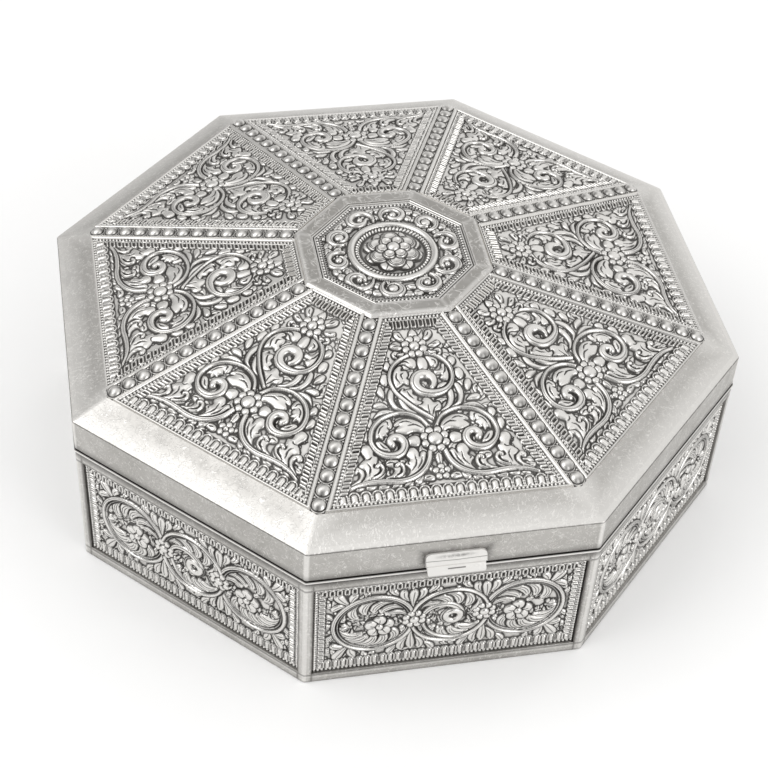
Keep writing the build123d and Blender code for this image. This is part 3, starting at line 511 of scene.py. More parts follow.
def lid_panel(columns=300, rows=320):
    """Relief of a lid panel: three scrolls about a flower, acanthus below and a small flower above."""
    y = np.linspace(0, roof_length, rows + 1)[:, None] * np.ones((1, columns + 1))
    x = np.linspace(-1, 1, columns + 1)[None, :] * panel_half_width(y)
    r = Relief(x, y, panel_ground)
    full = 1.25

    def mirror(points, side):
        return [(lid_middle + side * px, py) for px, py in points]

    def whole(half):
        """Outline of a form that crosses the middle line, from its right half."""
        return mirror(half, 1) + mirror(half[-2:0:-1], -1)

    r.undergrowth(300, (-32, 32, 5.5, 58), 2.4, 4.0, 11, 0.8)
    for side in (-1, 1):
        for pad in motif_pads + branch_pads:
            r.lobe(mirror(pad, side), 1.0)
        for pad in branch_pads:
            r.pad(mirror(pad, side), 1.0, 1.1)
        for px, py, heading, size, turn in lower_lobes:
            heading = heading if side == 1 else 180 - heading
            r.leaf((lid_middle + side * px, py), heading, size, side * turn, 0.95, 1.0)
        r.stroke(curve(mirror(corner_wave, side)), lambda t: 0.35 + 0.45 * t, 1.0)
        for pad in wave_pads:
            r.pad(mirror(pad, side), 1.15)
        for run in wave_hollows:
            r.groove(mirror(run, side), 0.26, 0.28)
        for run in small_waves:
            r.stroke(curve(mirror(run, side)), lambda t: 0.25 + 0.35 * t, 1.22)
        r.stroke(curve(mirror(rib_line, side)), lambda t: 0.35 + 0.35 * smoothstep(0, 0.3, t), full, (0,))
    r.pad(whole(fork_pad), 1.15)
    r.groove([(lid_middle, 25.6), (lid_middle, 31)], 0.2, 0.25)

    def side_width(t):
        swell = 0.15 * smoothstep(0.2, 0.5, t) + 0.5 * smoothstep(0.6, 0.75, t)
        return 0.5 + swell - 0.15 * smoothstep(0.9, 1.0, t)

    def top_width(t):
        swell = 0.1 * smoothstep(0.2, 0.5, t) + 0.85 * smoothstep(0.66, 0.82, t)
        return 0.5 + swell - 0.3 * smoothstep(0.93, 1.0, t)

    for side in (-1, 1):
        r.groove(mirror(fork_hollow, side), 0.22, 0.25)
        for pad in side_pads:
            r.pad(mirror(pad, side), 1.1)
        for run in side_hollows:
            r.groove(mirror(run, side), 0.26, 0.28)
        stem = curve(mirror(side_stem, side))
        r.stroke(stem, side_width, lambda t: full + 0.1 * smoothstep(0.6, 0.8, t), (0.35 * side,))
        r.groove(mirror(side_eye, side), 0.42, 0.5)
    for pad in top_pads:
        r.pad(pad, 1.1)
    for run in top_hollows:
        r.groove(run, 0.28, 0.28)
    r.stroke(curve(top_stem), top_width, lambda t: full + 0.12 * smoothstep(0.6, 0.8, t), (0.35,))
    r.groove(top_eye, 0.55, 0.6)
    for side in (-1, 1):
        for pad in crown_pads:
            r.lobe(mirror(pad, side), 1.0, 1.0)
    r.pad(whole(crown_tip), 1.0, 1.0)
    r.leaf((lid_middle, 10.2), 90, 4.6, 0, 1.0, 1.0)
    r.flower((lid_middle, 8.9), 0.75, 0.95, 1.6, 5, 1.0, turn=0.25)
    r.flower((lid_middle, 19.4), 2.1, 1.15, 3.05, 8, 1.35)
    r.flower((lid_middle - 0.3, 51), 1.5, 1.15, 2.65, 8, 1.3)

    lean = cos(atan(narrowing))
    from_side = (panel_half_width(y) - np.abs(x)) * lean
    from_top = roof_length - y
    side_rows = edging(y / lean, from_side, (1.4, 1.1, 0.46, 0.85), (1.8, 2.1, 0.6),
                       (flutes, 2.1, 4.6, 2.4, 0.95), (-0.6, 0.95, 1.0))
    foot_rows = edging(x, y, (1.1, 1.15, 0.46, 0.85), (1.5, 1.8, 0.6),
                       (tongues, 1.75, 5.2, foot_half * 2 / 21, 1.0), (-0.6, 0.7, 0.9))
    top_rows = edging(x, from_top, (1.0, 1.1, 0.46, 0.85), (1.35, 1.6, 0.6),
                      (flutes, 1.6, 4.7, 2.2, 0.95), (-0.5, 0.6, 0.9))
    edges = (from_side / 4.6, side_rows), (y / 5.3, foot_rows), (from_top / 4.8, top_rows)
    r.border(edges, 0.15, 0.06, 0.85)
    return r


# Leaves of the side panels round a panel's middle: x, y, heading, length, turn and half width
corner_leaves = (
    (33.2, 3, 70, 4.4, -95, 1), (33, 7.6, 80, 4.2, -95, 1.1), (33.6, 9.6, 100, 4, 80, 0.95),
    (28.2, 9.6, 85, 4.8, 75, 1.25), (29.2, 9.2, 8, 5, -65, 1.2), (28.6, 9, 48, 7, 15, 1.5),
    (24.2, 12.2, 88, 3, 80, 1),
)
gap_leaves = (
    (13.8, 11.2, 25, 5, 70, 1.1), (7, 11.2, 155, 5, -70, 1.1), (11.4, 8.2, 42, 5.8, 80, 1.25),
    (9.8, 8.2, 138, 5.8, -80, 1.25), (10.6, 5.6, 90, 7.6, 6, 1.35), (11.5, 5.2, 20, 2.8, 70, 0.9),
    (9.5, 5.2, 160, 2.8, -70, 0.9),
)

# Sprigs inside the rings, from a ring's middle: x, y, heading and length
ring_sprigs = (
    (-3.2, 3.6, 125, 3.6), (4.4, 5.4, 50, 3.6), (-6.4, -0.6, 190, 3.6), (7, -4.2, -35, 3.4),
    (-3.4, -5.8, 235, 3.6), (3.4, -6.4, 285, 3.2), (7.2, 1.6, 15, 3.2), (0.4, 6.2, 95, 3.2),
)
middle_sprigs = (
    (-4.6, 1.6, 165, 3.6), (-2.8, 5, 115, 3.6), (3.6, 4.2, 50, 3.6), (5.4, -0.4, 0, 3.4),
    (3.8, -4.6, -55, 3.6), (-1.6, -5.4, -110, 3.6), (-5.2, -2.6, 205, 3.2),
)
side_middle = 19.4


def side_panel(columns=420, rows=210):
    """Relief of a side panel: three leafy rings in a row with flowers between them."""
    y = np.linspace(0, window_height, rows + 1)[:, None] * np.ones((1, columns + 1))
    x = np.linspace(-window_width / 2, window_width / 2, columns + 1)[None, :] * np.ones((rows + 1, 1))
    r = Relief(x, y)
    full = 1.0
    r.undergrowth(420, (-35, 35, 5.2, 33.6), 2.0, 3.4, 5, 0.66)
    for side in (-1, 1):
        for end in (-1, 1):
            for px, py, heading, size, turn, width in corner_leaves + gap_leaves:
                heading = end * (heading if side == 1 else 180 - heading)
                r.leaf((side * px, side_middle + end * py), heading, size, side * end * turn, width, 0.88)

    def fans(centre, start, way, turns, reach, size, width, shrink):
        """Two fans of leaves that leave a ring and curl inwards, each laid over the one before."""
        for first in (start, start + 180):
            for index, share in enumerate(turns):
                at = ahead(centre, first + way * share, reach)
                scale = 1 - shrink * index / len(turns)
                heading = first + way * (share + 112)
                r.leaf(at, heading, size * scale, way * 125, width * scale, 0.98, (-0.25, 0.3), 1.7, 0.6,
                       0.35)

    turn = np.linspace(0, 2 * pi, 140)

    def hoop(at, reach, half_width, height, lines=()):
        spine = np.stack([at[0] + reach * np.cos(turn), at[1] + reach * np.sin(turn)], 1)
        r.stroke(spine, half_width, height, lines)

    for cx, way in ((-21.6, 1), (22.2, -1)):
        centre = (cx, side_middle)
        for dx, dy, heading, size in ring_sprigs:
            r.sprig((cx + way * dx, side_middle + dy), heading if way == 1 else 180 - heading, size)
        fans(centre, 90 - 90 * way, way, (10, 34, 60, 88, 118), 10.2, 8.6, 1.75, 0.25)
        hoop(centre, 10.6, 0.3, 0.8)
        hoop(centre, 11.6, 0.58, full, (-0.2,))
        at = (cx + way * 1.7, side_middle - 1.4)
        petals = [72 * index + 18 for index in range(5)]
        for heading in petals:
            r.ball(ahead(at, heading, 2.5), 1.95, 1.2, 0.4, 0.42, 0.45)
        for heading in petals:
            r.groove([at, ahead(at, heading, 3.2)], 0.2, 0.2, 0.7)
        r.ball(at, 1.15, 1.5, 0.6)
    centre = (0.5, side_middle)
    for dx, dy, heading, size in middle_sprigs:
        r.sprig((centre[0] + dx, side_middle + dy), heading, size)
    fans(centre, 150, -1, (0, 26, 54, 84, 116), 9.9, 7.6, 1.7, 0.3)
    volute = volute_spine((centre[0] + 0.6, side_middle - 0.3), 180, -1, (11.4, 11.0, 8.6, 2.6, 2.2, 2.2))
    r.stroke(volute, lambda t: 0.55 + 0.65 * smoothstep(0.66, 0.85, t),
             lambda t: full + 0.12 * smoothstep(0.6, 0.8, t), (0.35,))
    hoop((centre[0] + 0.9, side_middle - 0.3), 2.1, 1.0, 1.2)
    hoop(centre, 11.3, 0.5, 0.95)
    for cx in (-9.9, 10.5):
        r.flower((cx, side_middle), 1.4, 1.12, 2.5, 8, 1.15)

    from_side = window_width / 2 - np.abs(x)
    from_top = window_height - y
    rule = (1.2, 1.45, 0.5)
    side_rows = edging(y, from_side, (0.7, 1.1, 0.5, 0.75), rule, (flutes, 1.45, 3.6, 1.9, 0.85))
    foot_rows = edging(x, y, (0.7, 1.2, 0.52, 0.75), rule, (tongues, 1.5, 4.95, window_width / 34, 0.9))
    top_figure = (flutes, 1.3, 3.8, window_width / 37, 0.85)
    top_rows = edging(x, from_top, (0.6, 1.15, 0.48, 0.75), (1.05, 1.3, 0.5), top_figure)
    edges = (from_side / 3.7, side_rows), (y / 5.1, foot_rows), (from_top / 3.9, top_rows)
    r.border(edges, -0.05, 0.08, 0.8)
    return r


def flat_turn(angle):
    """Angle from the middle of the nearest flat of an octagon."""
    return (angle + half_side - pi / 2) % (2 * half_side) - half_side


def polar(inner, outer, rings, spokes):
    """Grid of points in rings round the middle, out to a distance that outer gives at each angle."""
    angle = np.linspace(0, 2 * pi, spokes, endpoint=False)[None, :]
    reach = inner + (outer(angle) - inner) * np.linspace(0, 1, rings + 1)[:, None]
    return reach * np.cos(angle), reach * np.sin(angle), reach


# Leaves round each scroll of the centre plate: way from the scroll, length, turn and half width
plate_leaves = (
    (-95, 4.2, -70, 1.2), (-60, 4.6, -60, 1.4), (-25, 4.4, 60, 1.2), (25, 4.4, -60, 1.2), (60, 4.6, 60, 1.4),
    (95, 4.2, 70, 1.2), (150, 4.0, 60, 1.2), (-150, 4.0, -60, 1.2),
)


def centre_plate(rings=110, spokes=720, scrolls=10):
    """Relief of the centre plate: curled scrolls round a roped moulding."""
    x, y, reach = polar(0.4, lambda angle: ring_inner / np.cos(flat_turn(angle)), rings, spokes)
    r = Relief(x, y)
    full = 1.15
    headings = [360 * index / scrolls + 8 for index in range(scrolls)]
    places = [ahead((0, 0), heading, 17.2) for heading in headings]
    for place, outwards in zip(places, headings):
        for offset, size, turn, width in plate_leaves:
            heading = outwards + offset
            r.leaf(ahead(place, heading, 2.0), heading, size, turn, width, 0.85)
    for index, (place, heading) in enumerate(zip(places, headings)):
        way = 1 if index % 2 == 0 else -1
        size = (4.2, 3.6, 3.9)[index % 3]
        spine = volute_spine(place, heading + 130 * way, -way, (size, size - 0.9, 1.6))
        r.stroke(spine, lambda t: 0.4 + 0.85 * np.sin(pi * np.clip(t * 0.9, 0, 1)), full, (-0.3,))
        r.ball(place, (0.9, 1.5, 1.1)[index % 3], full * 1.15, 0.4 * full)

    # Round moulding, rope inside it, and rows along the octagon's edge
    moulding = 12.75
    moulding_half = 1.15
    rope_middle = 10.95
    rope_half = 0.68
    rows_width = 3.0
    radius = np.hypot(x, y)
    angle = np.arctan2(y, x)
    turn = flat_turn(angle)
    edge = ring_inner - reach * np.cos(turn)
    along = reach * np.sin(turn)
    ring = 1.2 * dome((radius - moulding) / moulding_half)
    strands = 0.5 + 0.5 * np.cos(60 * (angle + (radius - 11.1) * 0.03))
    rope = 0.85 * dome((radius - rope_middle) / rope_half) * (0.45 + 0.55 * strands)
    leaves = smoothstep(13.9, 14.2, radius) * smoothstep(rows_width, rows_width + 0.2, edge)
    rows = edging(along, edge, (1.65, 1.18, 0.46, 0.62), (0.7, 1.15, 0.6), (pearls, 2.72, 0.95, 0.28, 0.4),
                  (-0.4, 0.45, 0.7))
    rows = np.where(edge < rows_width, np.maximum(rows, line(edge, 2.15, 2.4, 0.35)), 0)
    # Oxide and painted shade in the gaps between the rows, along both feet of the moulding, between the
    # rope's strands and in the hollow inside the rope.
    gaps = np.maximum.reduce([
        np.where(edge < rows_width, 0.85 * (1 - smoothstep(0.08, 0.4, rows)), 0),
        0.9 * np.exp(-((radius - moulding - moulding_half - 0.1) / 0.2) ** 2),
        0.9 * np.exp(-((radius - moulding + moulding_half) / 0.14) ** 2),
        0.8 * (1 - strands) ** 2 * (np.abs(radius - rope_middle) < rope_half),
        0.5 * smoothstep(10.4, 10.0, radius) * smoothstep(8.6, 9.6, radius)])
    r.ink = np.maximum(r.ink * leaves.ravel(), gaps.ravel())
    r.h = np.maximum(r.h * leaves.ravel(), np.maximum.reduce([ring, rope, rows]).ravel())
    return r


def rosette(radius=9.3, boss_radius=1.95, rings=100, spokes=560):
    """Cupped petals in two rings over pointed leaves, round a boss."""
    x, y, reach = polar(0.15, lambda angle: radius + 0 * angle, rings, spokes)
    angle = np.arctan2(y, x)
    h = np.zeros(x.shape)
    ink = np.full(x.shape, 0.35)

    def petals(count, turn, inner, outer, spread, low, high, cup, point, grooves):
        """Lays a ring of petals over the rosette, with grooved outlines inside their edges."""
        nonlocal h, ink
        step = 2 * pi / count
        local = (angle - turn + step / 2) % step - step / 2
        along = (reach - (inner + outer) / 2) / ((outer - inner) / 2)
        across = local * reach / spread
        distance = (np.abs(along) ** (2.2 * point) + np.abs(across) ** 2.2) ** 0.5
        inside = distance < 1
        level = low + (high - low) * dome(distance**2) * (1 - cup * np.exp(-distance**2 * 4.5))
        dark = 0.8 * smoothstep(0.9, 1.0, distance)
        for place in grooves:
            near = np.exp(-((distance - place) * spread / 0.17) ** 2)
            level = level - 0.22 * near
            dark = np.maximum(dark, 0.85 * near)
        rib = np.exp(-(local * reach / 0.16) ** 2) * (point < 1) * smoothstep(-0.9, -0.2, along)
        # Painted shadow where neighbouring petals meet, over a shallow groove.
        seam_shadow = np.exp(-((step / 2 - np.abs(local)) * reach / 0.28) ** 2)
        level = level - 0.2 * rib - 0.35 * seam_shadow
        dark = np.maximum.reduce([dark, 0.7 * rib, 0.95 * seam_shadow])
        shade = 1.0 - smoothstep(1.1, 1.4, distance)
        covers = inside & (level > h)
        ink = np.where(covers, dark, np.maximum(ink, np.where(inside, 0, shade)))
        h = np.where(covers, level, h)

    petals(8, pi / 8, 4.2, 9.25, 2.9, 0.2, 1.2, 0.0, 0.72, ())
    petals(6, pi / 6, 3.2, 8.0, 2.95, 0.5, 2.0, 0.3, 1.0, (0.8, 0.62))
    petals(6, 0, 1.5, 5.3, 2.1, 1.1, 2.75, 0.4, 1.0, (0.74,))
    middle = reach < boss_radius
    shade = np.maximum(ink, 0.95 * (1 - smoothstep(boss_radius + 0.15, boss_radius + 0.45, reach)))
    ink = np.where(middle, 0.6 * smoothstep(boss_radius - 0.2, boss_radius, reach), shade)
    h = np.where(middle, 1.9 + 1.45 * dome(reach / boss_radius), h)
    r = Relief(x, y)
    r.h = (h * np.clip((radius - reach) / 0.2, 0, 1) + 0.02).ravel()
    r.ink = np.clip(ink, 0, 1).ravel()
    return r


def bead_strip(beads=14, first=2.56, step=4.79, rows=480, columns=36):
    """Relief of a strip of round beads, each in a thin collar, pointed at both ends like its ridge."""
    share = np.linspace(-1, 1, columns + 1)[None, :] * np.ones((rows + 1, 1))
    x = share * strip_width / 2
    point = strip_width / 2 * tan(half_side)
    y = np.abs(share) * point + np.linspace(0, 1, rows + 1)[:, None] * ridge_length
    r = Relief(x, y)
    bead_radius = 2.1
    place = first + np.clip(np.round((y - first) / step), 0, beads - 1) * step
    distance = np.hypot(x, y - place)
    halfway = np.abs(np.abs(y - place) - step / 2)
    collar = 0.5 * dome((distance - 2.3) / 0.16)
    grain = 0.5 * dome(np.hypot(np.abs(x) - 1.75, halfway) / 0.4)
    edge = line(strip_width / 2 - np.abs(x), -0.3, 0.34, 0.85)
    h = np.maximum.reduce([1.75 * dome(distance / bead_radius), collar, grain, edge])
    # Painted shade across the middle of each bead, above and below its top, leaves painted highlights at its
    # sides; oxide and painted shade darken its edge and the low parts between the beads.
    bead_shade = 0.5 * np.exp(-((x / 0.75) ** 2)) * smoothstep(0.2, 1.4, distance) + 0.12
    bead_ink = np.maximum(bead_shade, 0.8 * smoothstep(1.75, bead_radius, distance))
    r.h = h.ravel()
    r.ink = np.where(distance < bead_radius, bead_ink, 0.85 * (1 - smoothstep(0.1, 0.45, h))).ravel()
    return r


def unit(*values):
    vector = np.array(values, float)
    return vector / np.linalg.norm(vector)


class Place:
    """Maps a design's x, y and height, in millimetres, to the box."""

    def __init__(self, origin, inward, up, turn=0.0):
        c, s = cos(turn), sin(turn)
        spin = np.array([[c, -s, 0], [s, c, 0], [0, 0, 1]])
        self.origin = spin @ np.array(origin, float)
        self.axes = [spin @ np.array(axis, float) for axis in ((1, 0, 0), inward, up)]

    def points(self, x, y, height):
        across, inward, up = self.axes
        return self.origin + x[..., None] * across + y[..., None] * inward + height[..., None] * up


def build_mesh(name, points, quads, triangles, uv_of_corner, flat_from, values):
    """Mesh object from arrays of corners; faces from flat_from onwards are shaded flat."""
    mesh = bpy.data.meshes.new(name)
    mesh.vertices.add(len(points))
    mesh.vertices.foreach_set("co", (points * mm).astype(np.float32).ravel())
    corners = np.concatenate([quads.ravel(), triangles.ravel()]).astype(np.int32)
    quad_starts = np.arange(len(quads)) * 4
    triangle_starts = len(quads) * 4 + np.arange(len(triangles)) * 3
    mesh.loops.add(len(corners))
    mesh.loops.foreach_set("vertex_index", corners)
    mesh.polygons.add(len(quads) + len(triangles))
    mesh.polygons.foreach_set("loop_start", np.concatenate([quad_starts, triangle_starts]).astype(np.int32))
    smooth = np.ones(len(mesh.polygons), bool)
    smooth[flat_from:] = False
    mesh.polygons.foreach_set("use_smooth", smooth)
    layer = mesh.uv_layers.new(name="OFBake")
    layer.data.foreach_set("uv", uv_of_corner.astype(np.float32).ravel())
    for key, value in values.items():
        attribute = mesh.attributes.new(key, "FLOAT", "POINT")
        attribute.data.foreach_set("value", value.astype(np.float32))
    mesh.update()
    mesh.validate()
    thing = bpy.data.objects.new(name, mesh)
    bpy.context.scene.collection.objects.link(thing)
    return thing


def uv_band(walk, high, low):
    """Corners of a row of faces in a strip of the UV map."""
    corners = (walk[1:], high), (walk[:-1], high), (walk[:-1], low), (walk[1:], low)
    return np.stack([np.stack([along, np.full(len(along), level)], 1) for along, level in corners], 1)


def solid_grid(name, top, under, values):
    """Closed solid under a rectangular grid of points; its flat underside is a fan."""
    rows, columns = top.shape[:2]
    index = np.arange(rows * columns).reshape(rows, columns)
    rim = np.concatenate([index[0, :-1], index[:-1, -1], index[-1, :0:-1], index[:0:-1, 0]])
    low = rows * columns + np.arange(len(rim))
    middle = rows * columns + len(rim)
    below = under.reshape(-1, 3)[rim]
    points = np.vstack([top.reshape(-1, 3), below, below.mean(0)[None]])
    quads = np.stack([index[:-1, :-1], index[:-1, 1:], index[1:, 1:], index[1:, :-1]], -1).reshape(-1, 4)
    after = np.roll(np.arange(len(rim)), -1)
    walls = np.stack([rim[after], rim, low, low[after]], 1)
    fan = np.stack([low[after], low, np.full(len(rim), middle)], 1)
    grid_uv = np.stack(np.meshgrid(np.linspace(0.01, 0.99, columns), np.linspace(0.06, 0.99, rows)), -1)
    walk = np.linspace(0.01, 0.99, len(rim) + 1)
    uv = np.concatenate([
        grid_uv.reshape(-1, 2)[quads.ravel()], uv_band(walk, 0.05, 0.035).reshape(-1, 2),
        uv_band(walk, 0.03, 0.01)[:, :3].reshape(-1, 2)])
    full = {key: np.concatenate([value.ravel(), np.zeros(len(rim) + 1)]) for key, value in values.items()}
    return build_mesh(name, points, np.vstack([quads, walls]), fan, uv, len(quads), full)


def solid_disc(name, top, under, values):
    """Closed solid under a grid of rings, the first ring innermost."""
    rings, spokes = top.shape[:2]
    index = np.arange(rings * spokes).reshape(rings, spokes)
    after = np.roll(np.arange(spokes), -1)
    low = rings * spokes + np.arange(spokes)
    top_middle = rings * spokes + spokes
    below = under[-1]
    points = np.vstack([top.reshape(-1, 3), below, top[0].mean(0)[None], below.mean(0)[None]])
    quads = np.stack([index[:-1], index[1:], index[1:, after], index[:-1, after]], -1).reshape(-1, 4)
    rim = index[-1]
    walls = np.stack([rim[after], rim, low, low[after]], 1)
    cap = np.stack([index[0], index[0, after], np.full(spokes, top_middle)], 1)
    fan = np.stack([low[after], low, np.full(spokes, top_middle + 1)], 1)

    # The UV map holds the disc round this middle, with the walls and the underside in strips above
    uv_middle = 0.36
    share = 0.35 * np.linspace(0.005, 1, rings)[:, None]
    angle = np.arange(spokes)[None, :] * 2 * pi / spokes
    disc_uv = uv_middle + np.stack([share * np.cos(angle), share * np.sin(angle)], -1).reshape(-1, 2)
    cap_uv = np.concatenate([disc_uv[cap[:, :2]], np.full((spokes, 1, 2), uv_middle)], 1)
    walk = np.linspace(0.01, 0.99, spokes + 1)
    uv = np.concatenate([
        disc_uv[quads.ravel()], uv_band(walk, 0.96, 0.94).reshape(-1, 2), cap_uv.reshape(-1, 2),
        uv_band(walk, 0.92, 0.90)[:, :3].reshape(-1, 2)])
    full = {key: np.concatenate([value.ravel(), np.zeros(spokes), [value.ravel()[0], 0]])
            for key, value in values.items()}
    return build_mesh(name, points, np.vstack([quads, walls]), np.vstack([cap, fan]), uv, len(quads), full)


def oxide_shade_and_polish_values(h, ink):
    """Oxide and painted shade in the carved lines and hollows, and the tops lighter, worn bright and with a
    painted highlight, at each point.
    """
    near = blur(h, 2)
    wide = blur(h, 6)
    hollow = np.clip((near - h) / 0.2, 0, 1) * 0.55 + np.clip((wide - h) / 0.45, 0, 1) * 0.45
    top = np.clip((h - near) / 0.12, 0, 1) * 0.6 + np.clip((h - wide) / 0.4, 0, 1) * 0.5
    return {"oxide_and_shade": np.clip(hollow + ink, 0, 1), "polish_and_highlight": np.clip(top, 0, 1)}


class Maker:
    """Short calls for the shader nodes of a material or of the world."""

    def __init__(self, owner):
        owner.use_nodes = True
        self.nodes = owner.node_tree.nodes
        self.links = owner.node_tree.links
        self.nodes.clear()

    def node(self, kind, inputs, **settings):
        """New node with its settings, fed with values or with the outputs of other nodes."""
        node = self.nodes.new(kind)
        for key, value in settings.items():
            setattr(node, key, value)
        for key, value in inputs.items():
            if isinstance(value, bpy.types.NodeSocket):
                self.links.new(value, node.inputs[key])
            else:
                node.inputs[key].default_value = value
        return node

    def locate(self):
        """Makes the object's own coordinates ready, in metres."""
        self.place = self.node("ShaderNodeTexCoord", {}).outputs["Object"]
        self.x, self.y, self.z = self.node("ShaderNodeSeparateXYZ", {0: self.place}).outputs

    def noise(self, scale, detail, roughness, distortion=0.0, place=None):
        inputs = {"Scale": scale, "Detail": detail, "Roughness": roughness, "Distortion": distortion}
        return self.node("ShaderNodeTexNoise", {"Vector": place or self.place, **inputs}).outputs["Fac"]

    def math(self, operation, *values):
        return self.node("ShaderNodeMath", dict(enumerate(values)), operation=operation).outputs[0]

    def most(self, first, *others):
        for value in others:
            first = self.math("MAXIMUM", first, value)
        return first

    def span(self, value, low, high, out_low=0.0, out_high=1.0):
        inputs = {"Value": value, "From Min": low, "From Max": high, "To Min": out_low, "To Max": out_high}
        return self.node("ShaderNodeMapRange", inputs).outputs["Result"]

    def fade(self, value, start, end, out_start=1.0, out_end=0.0):
        """Change between two places in millimetres."""
        return self.span(value, start * mm, end * mm, out_start, out_end)

    def line(self, value, middle, half, depth):
        """Soft line where a value is near its middle, in millimetres."""
        return self.fade(self.math("ABSOLUTE", self.math("SUBTRACT", value, middle * mm)), 0, half, depth)

    def octagon(self):
        """Distance from the box's middle to the flat it faces, and to the nearest mitre."""
        straight = self.math("MAXIMUM", self.math("ABSOLUTE", self.x), self.math("ABSOLUTE", self.y))
        sum_xy = self.math("ABSOLUTE", self.math("ADD", self.x, self.y))
        gap_xy = self.math("ABSOLUTE", self.math("SUBTRACT", self.x, self.y))
        slanted = self.math("MULTIPLY", self.math("MAXIMUM", sum_xy, gap_xy), sqrt(0.5))
        apart = self.math("ABSOLUTE", self.math("SUBTRACT", straight, slanted))
        return self.math("MAXIMUM", straight, slanted), self.math("MULTIPLY", apart, 0.5 / sin(half_side))

    def mix(self, factor, a, b):
        return self.node("ShaderNodeMix", {"Factor": factor, 6: a, 7: b}, data_type="RGBA").outputs[2]

    def attribute(self, name):
        return self.node("ShaderNodeAttribute", {}, attribute_name=name).outputs["Fac"]

    def bump(self, height, strength, distance):
        inputs = {"Height": height, "Strength": strength, "Distance": distance}
        return self.node("ShaderNodeBump", inputs).outputs["Normal"]


def new_material(name):
    """Empty material, and the maker of its nodes."""
    material = bpy.data.materials.new(name)
    m = Maker(material)
    m.locate()
    return material, m


def surface(m, colour, metal, roughness, normal):
    """Ends a material with its silver."""
    inputs = {"Base Color": colour, "Metallic": metal, "Roughness": roughness, "Normal": normal}
    shader = m.node("ShaderNodeBsdfPrincipled", inputs)
    m.node("ShaderNodeOutputMaterial", {"Surface": shader.outputs[0]})


silver_bright = (0.80, 0.785, 0.76, 1)
silver_light = (0.61, 0.597, 0.575, 1)
silver_mid = (0.42, 0.407, 0.386, 1)
oxide_and_shade_colour = (0.018, 0.015, 0.012, 1)


def worms(m, scale, thickness, seed):
    """Fine curled scratches: the contour lines of a noise, broken up by another."""
    offset = (seed, seed * 0.7, seed * 0.3)
    shifted = m.node("ShaderNodeVectorMath", {0: m.place, 1: offset}, operation="ADD").outputs[0]
    field = m.noise(scale, 1, 0.4, 0.6, shifted)
    contours = m.span(m.math("ABSOLUTE", m.math("SUBTRACT", field, 0.5)), 0, thickness, 1, 0)
    return m.math("MULTIPLY", contours, m.span(m.noise(scale * 0.7, 1, 0.5, 0, shifted), 0.44, 0.50))


def plain_silver(name, tone=0.5, stains=0.4, curls=0.7, size=640, marks=None, metal=1.0):
    """Worn sheet silver; marks gives where it is lighter, from wear and painted highlights, and where it is
    darker, from painted shade and dark lines and marks.
    """
    material, m = new_material(name)
    broad = m.noise(38, 3, 0.55)
    patches = m.noise(170, 4, 0.65)
    grain = m.noise(1500, 2, 0.6)
    lines = m.most(worms(m, size, 0.03, 0.31), worms(m, size * 1.45, 0.026, 1.7))
    level = m.math("ADD", tone, m.span(broad, 0.32, 0.68, -0.5 * stains, 0.5 * stains))
    level = m.math("ADD", level, m.span(patches, 0.3, 0.7, -0.35 * stains, 0.35 * stains))
    rubbed_and_highlit, dark = marks(m) if marks else (0.0, 0.0)
    colour = m.mix(m.span(m.math("SUBTRACT", level, rubbed_and_highlit), 0, 1), silver_light, silver_mid)
    bright = m.math("ADD", m.math("MULTIPLY", lines, curls), m.math("MULTIPLY", rubbed_and_highlit, 0.7))
    colour = m.mix(m.span(bright, 0, 1), colour, silver_bright)
    colour = m.mix(m.span(dark, 0, 1), colour, oxide_and_shade_colour)
    roughness = m.math("ADD", m.span(patches, 0.3, 0.7, 0.33, 0.45), m.span(broad, 0.3, 0.7, -0.03, 0.05))
    height = m.math("ADD", lines, m.math("MULTIPLY", grain, 0.5))
    surface(m, colour, metal, roughness, m.bump(height, 0.35, 0.12 * mm))
    return material


def chased_silver(name):
    """Bright silver, nearly black with oxide and painted shade in its hollows, lighter on its tops, worn
    bright and with a painted highlight.
    """
    material, m = new_material(name)
    oxide_and_shade = m.attribute("oxide_and_shade")
    polish_and_highlight = m.attribute("polish_and_highlight")
    patches = m.noise(90, 4, 0.6)
    grain = m.noise(2200, 2, 0.6)
    colour = m.mix(m.span(patches, 0.3, 0.7, 0, 0.35), silver_bright, silver_light)
    colour = m.mix(m.math("MULTIPLY", polish_and_highlight, 0.6), colour, silver_bright)
    oxide_and_shade_mix = m.math("MULTIPLY", m.span(oxide_and_shade, 0.08, 0.75), m.span(patches, 0.25, 0.7, 0.82, 1))
    colour = m.mix(oxide_and_shade_mix, colour, oxide_and_shade_colour)
    roughness = m.math("ADD", m.span(polish_and_highlight, 0, 1, 0.34, 0.20), m.math("MULTIPLY", oxide_and_shade_mix, 0.25))
    surface(m, colour, m.span(oxide_and_shade_mix, 0, 1, 1, 0.35), roughness, m.bump(grain, 0.3, 0.08 * mm))
    return material


# Heights and half lengths of the plain parts, in millimetres
border_foot = heights("lid_border")[0]
band_foot = heights("lid_band")[0]
rim_foot, rim_top = heights("base_rim")
thumb_foot, thumb_top = heights("thumbpiece")
thumb_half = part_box("thumbpiece")[1].x / mm
frame_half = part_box("side_frame_1")[1].x / mm
window_half = window_width / 2
window_top = window_foot + window_height


def border_marks(m):
    """Painted highlight towards the lower edge, and lighter towards the mitres."""
    mitre = m.octagon()[1]
    return m.most(m.fade(m.z, border_foot + 0.2, border_foot + 3.4), m.fade(mitre, 0, 7, 0.6)), 0.0


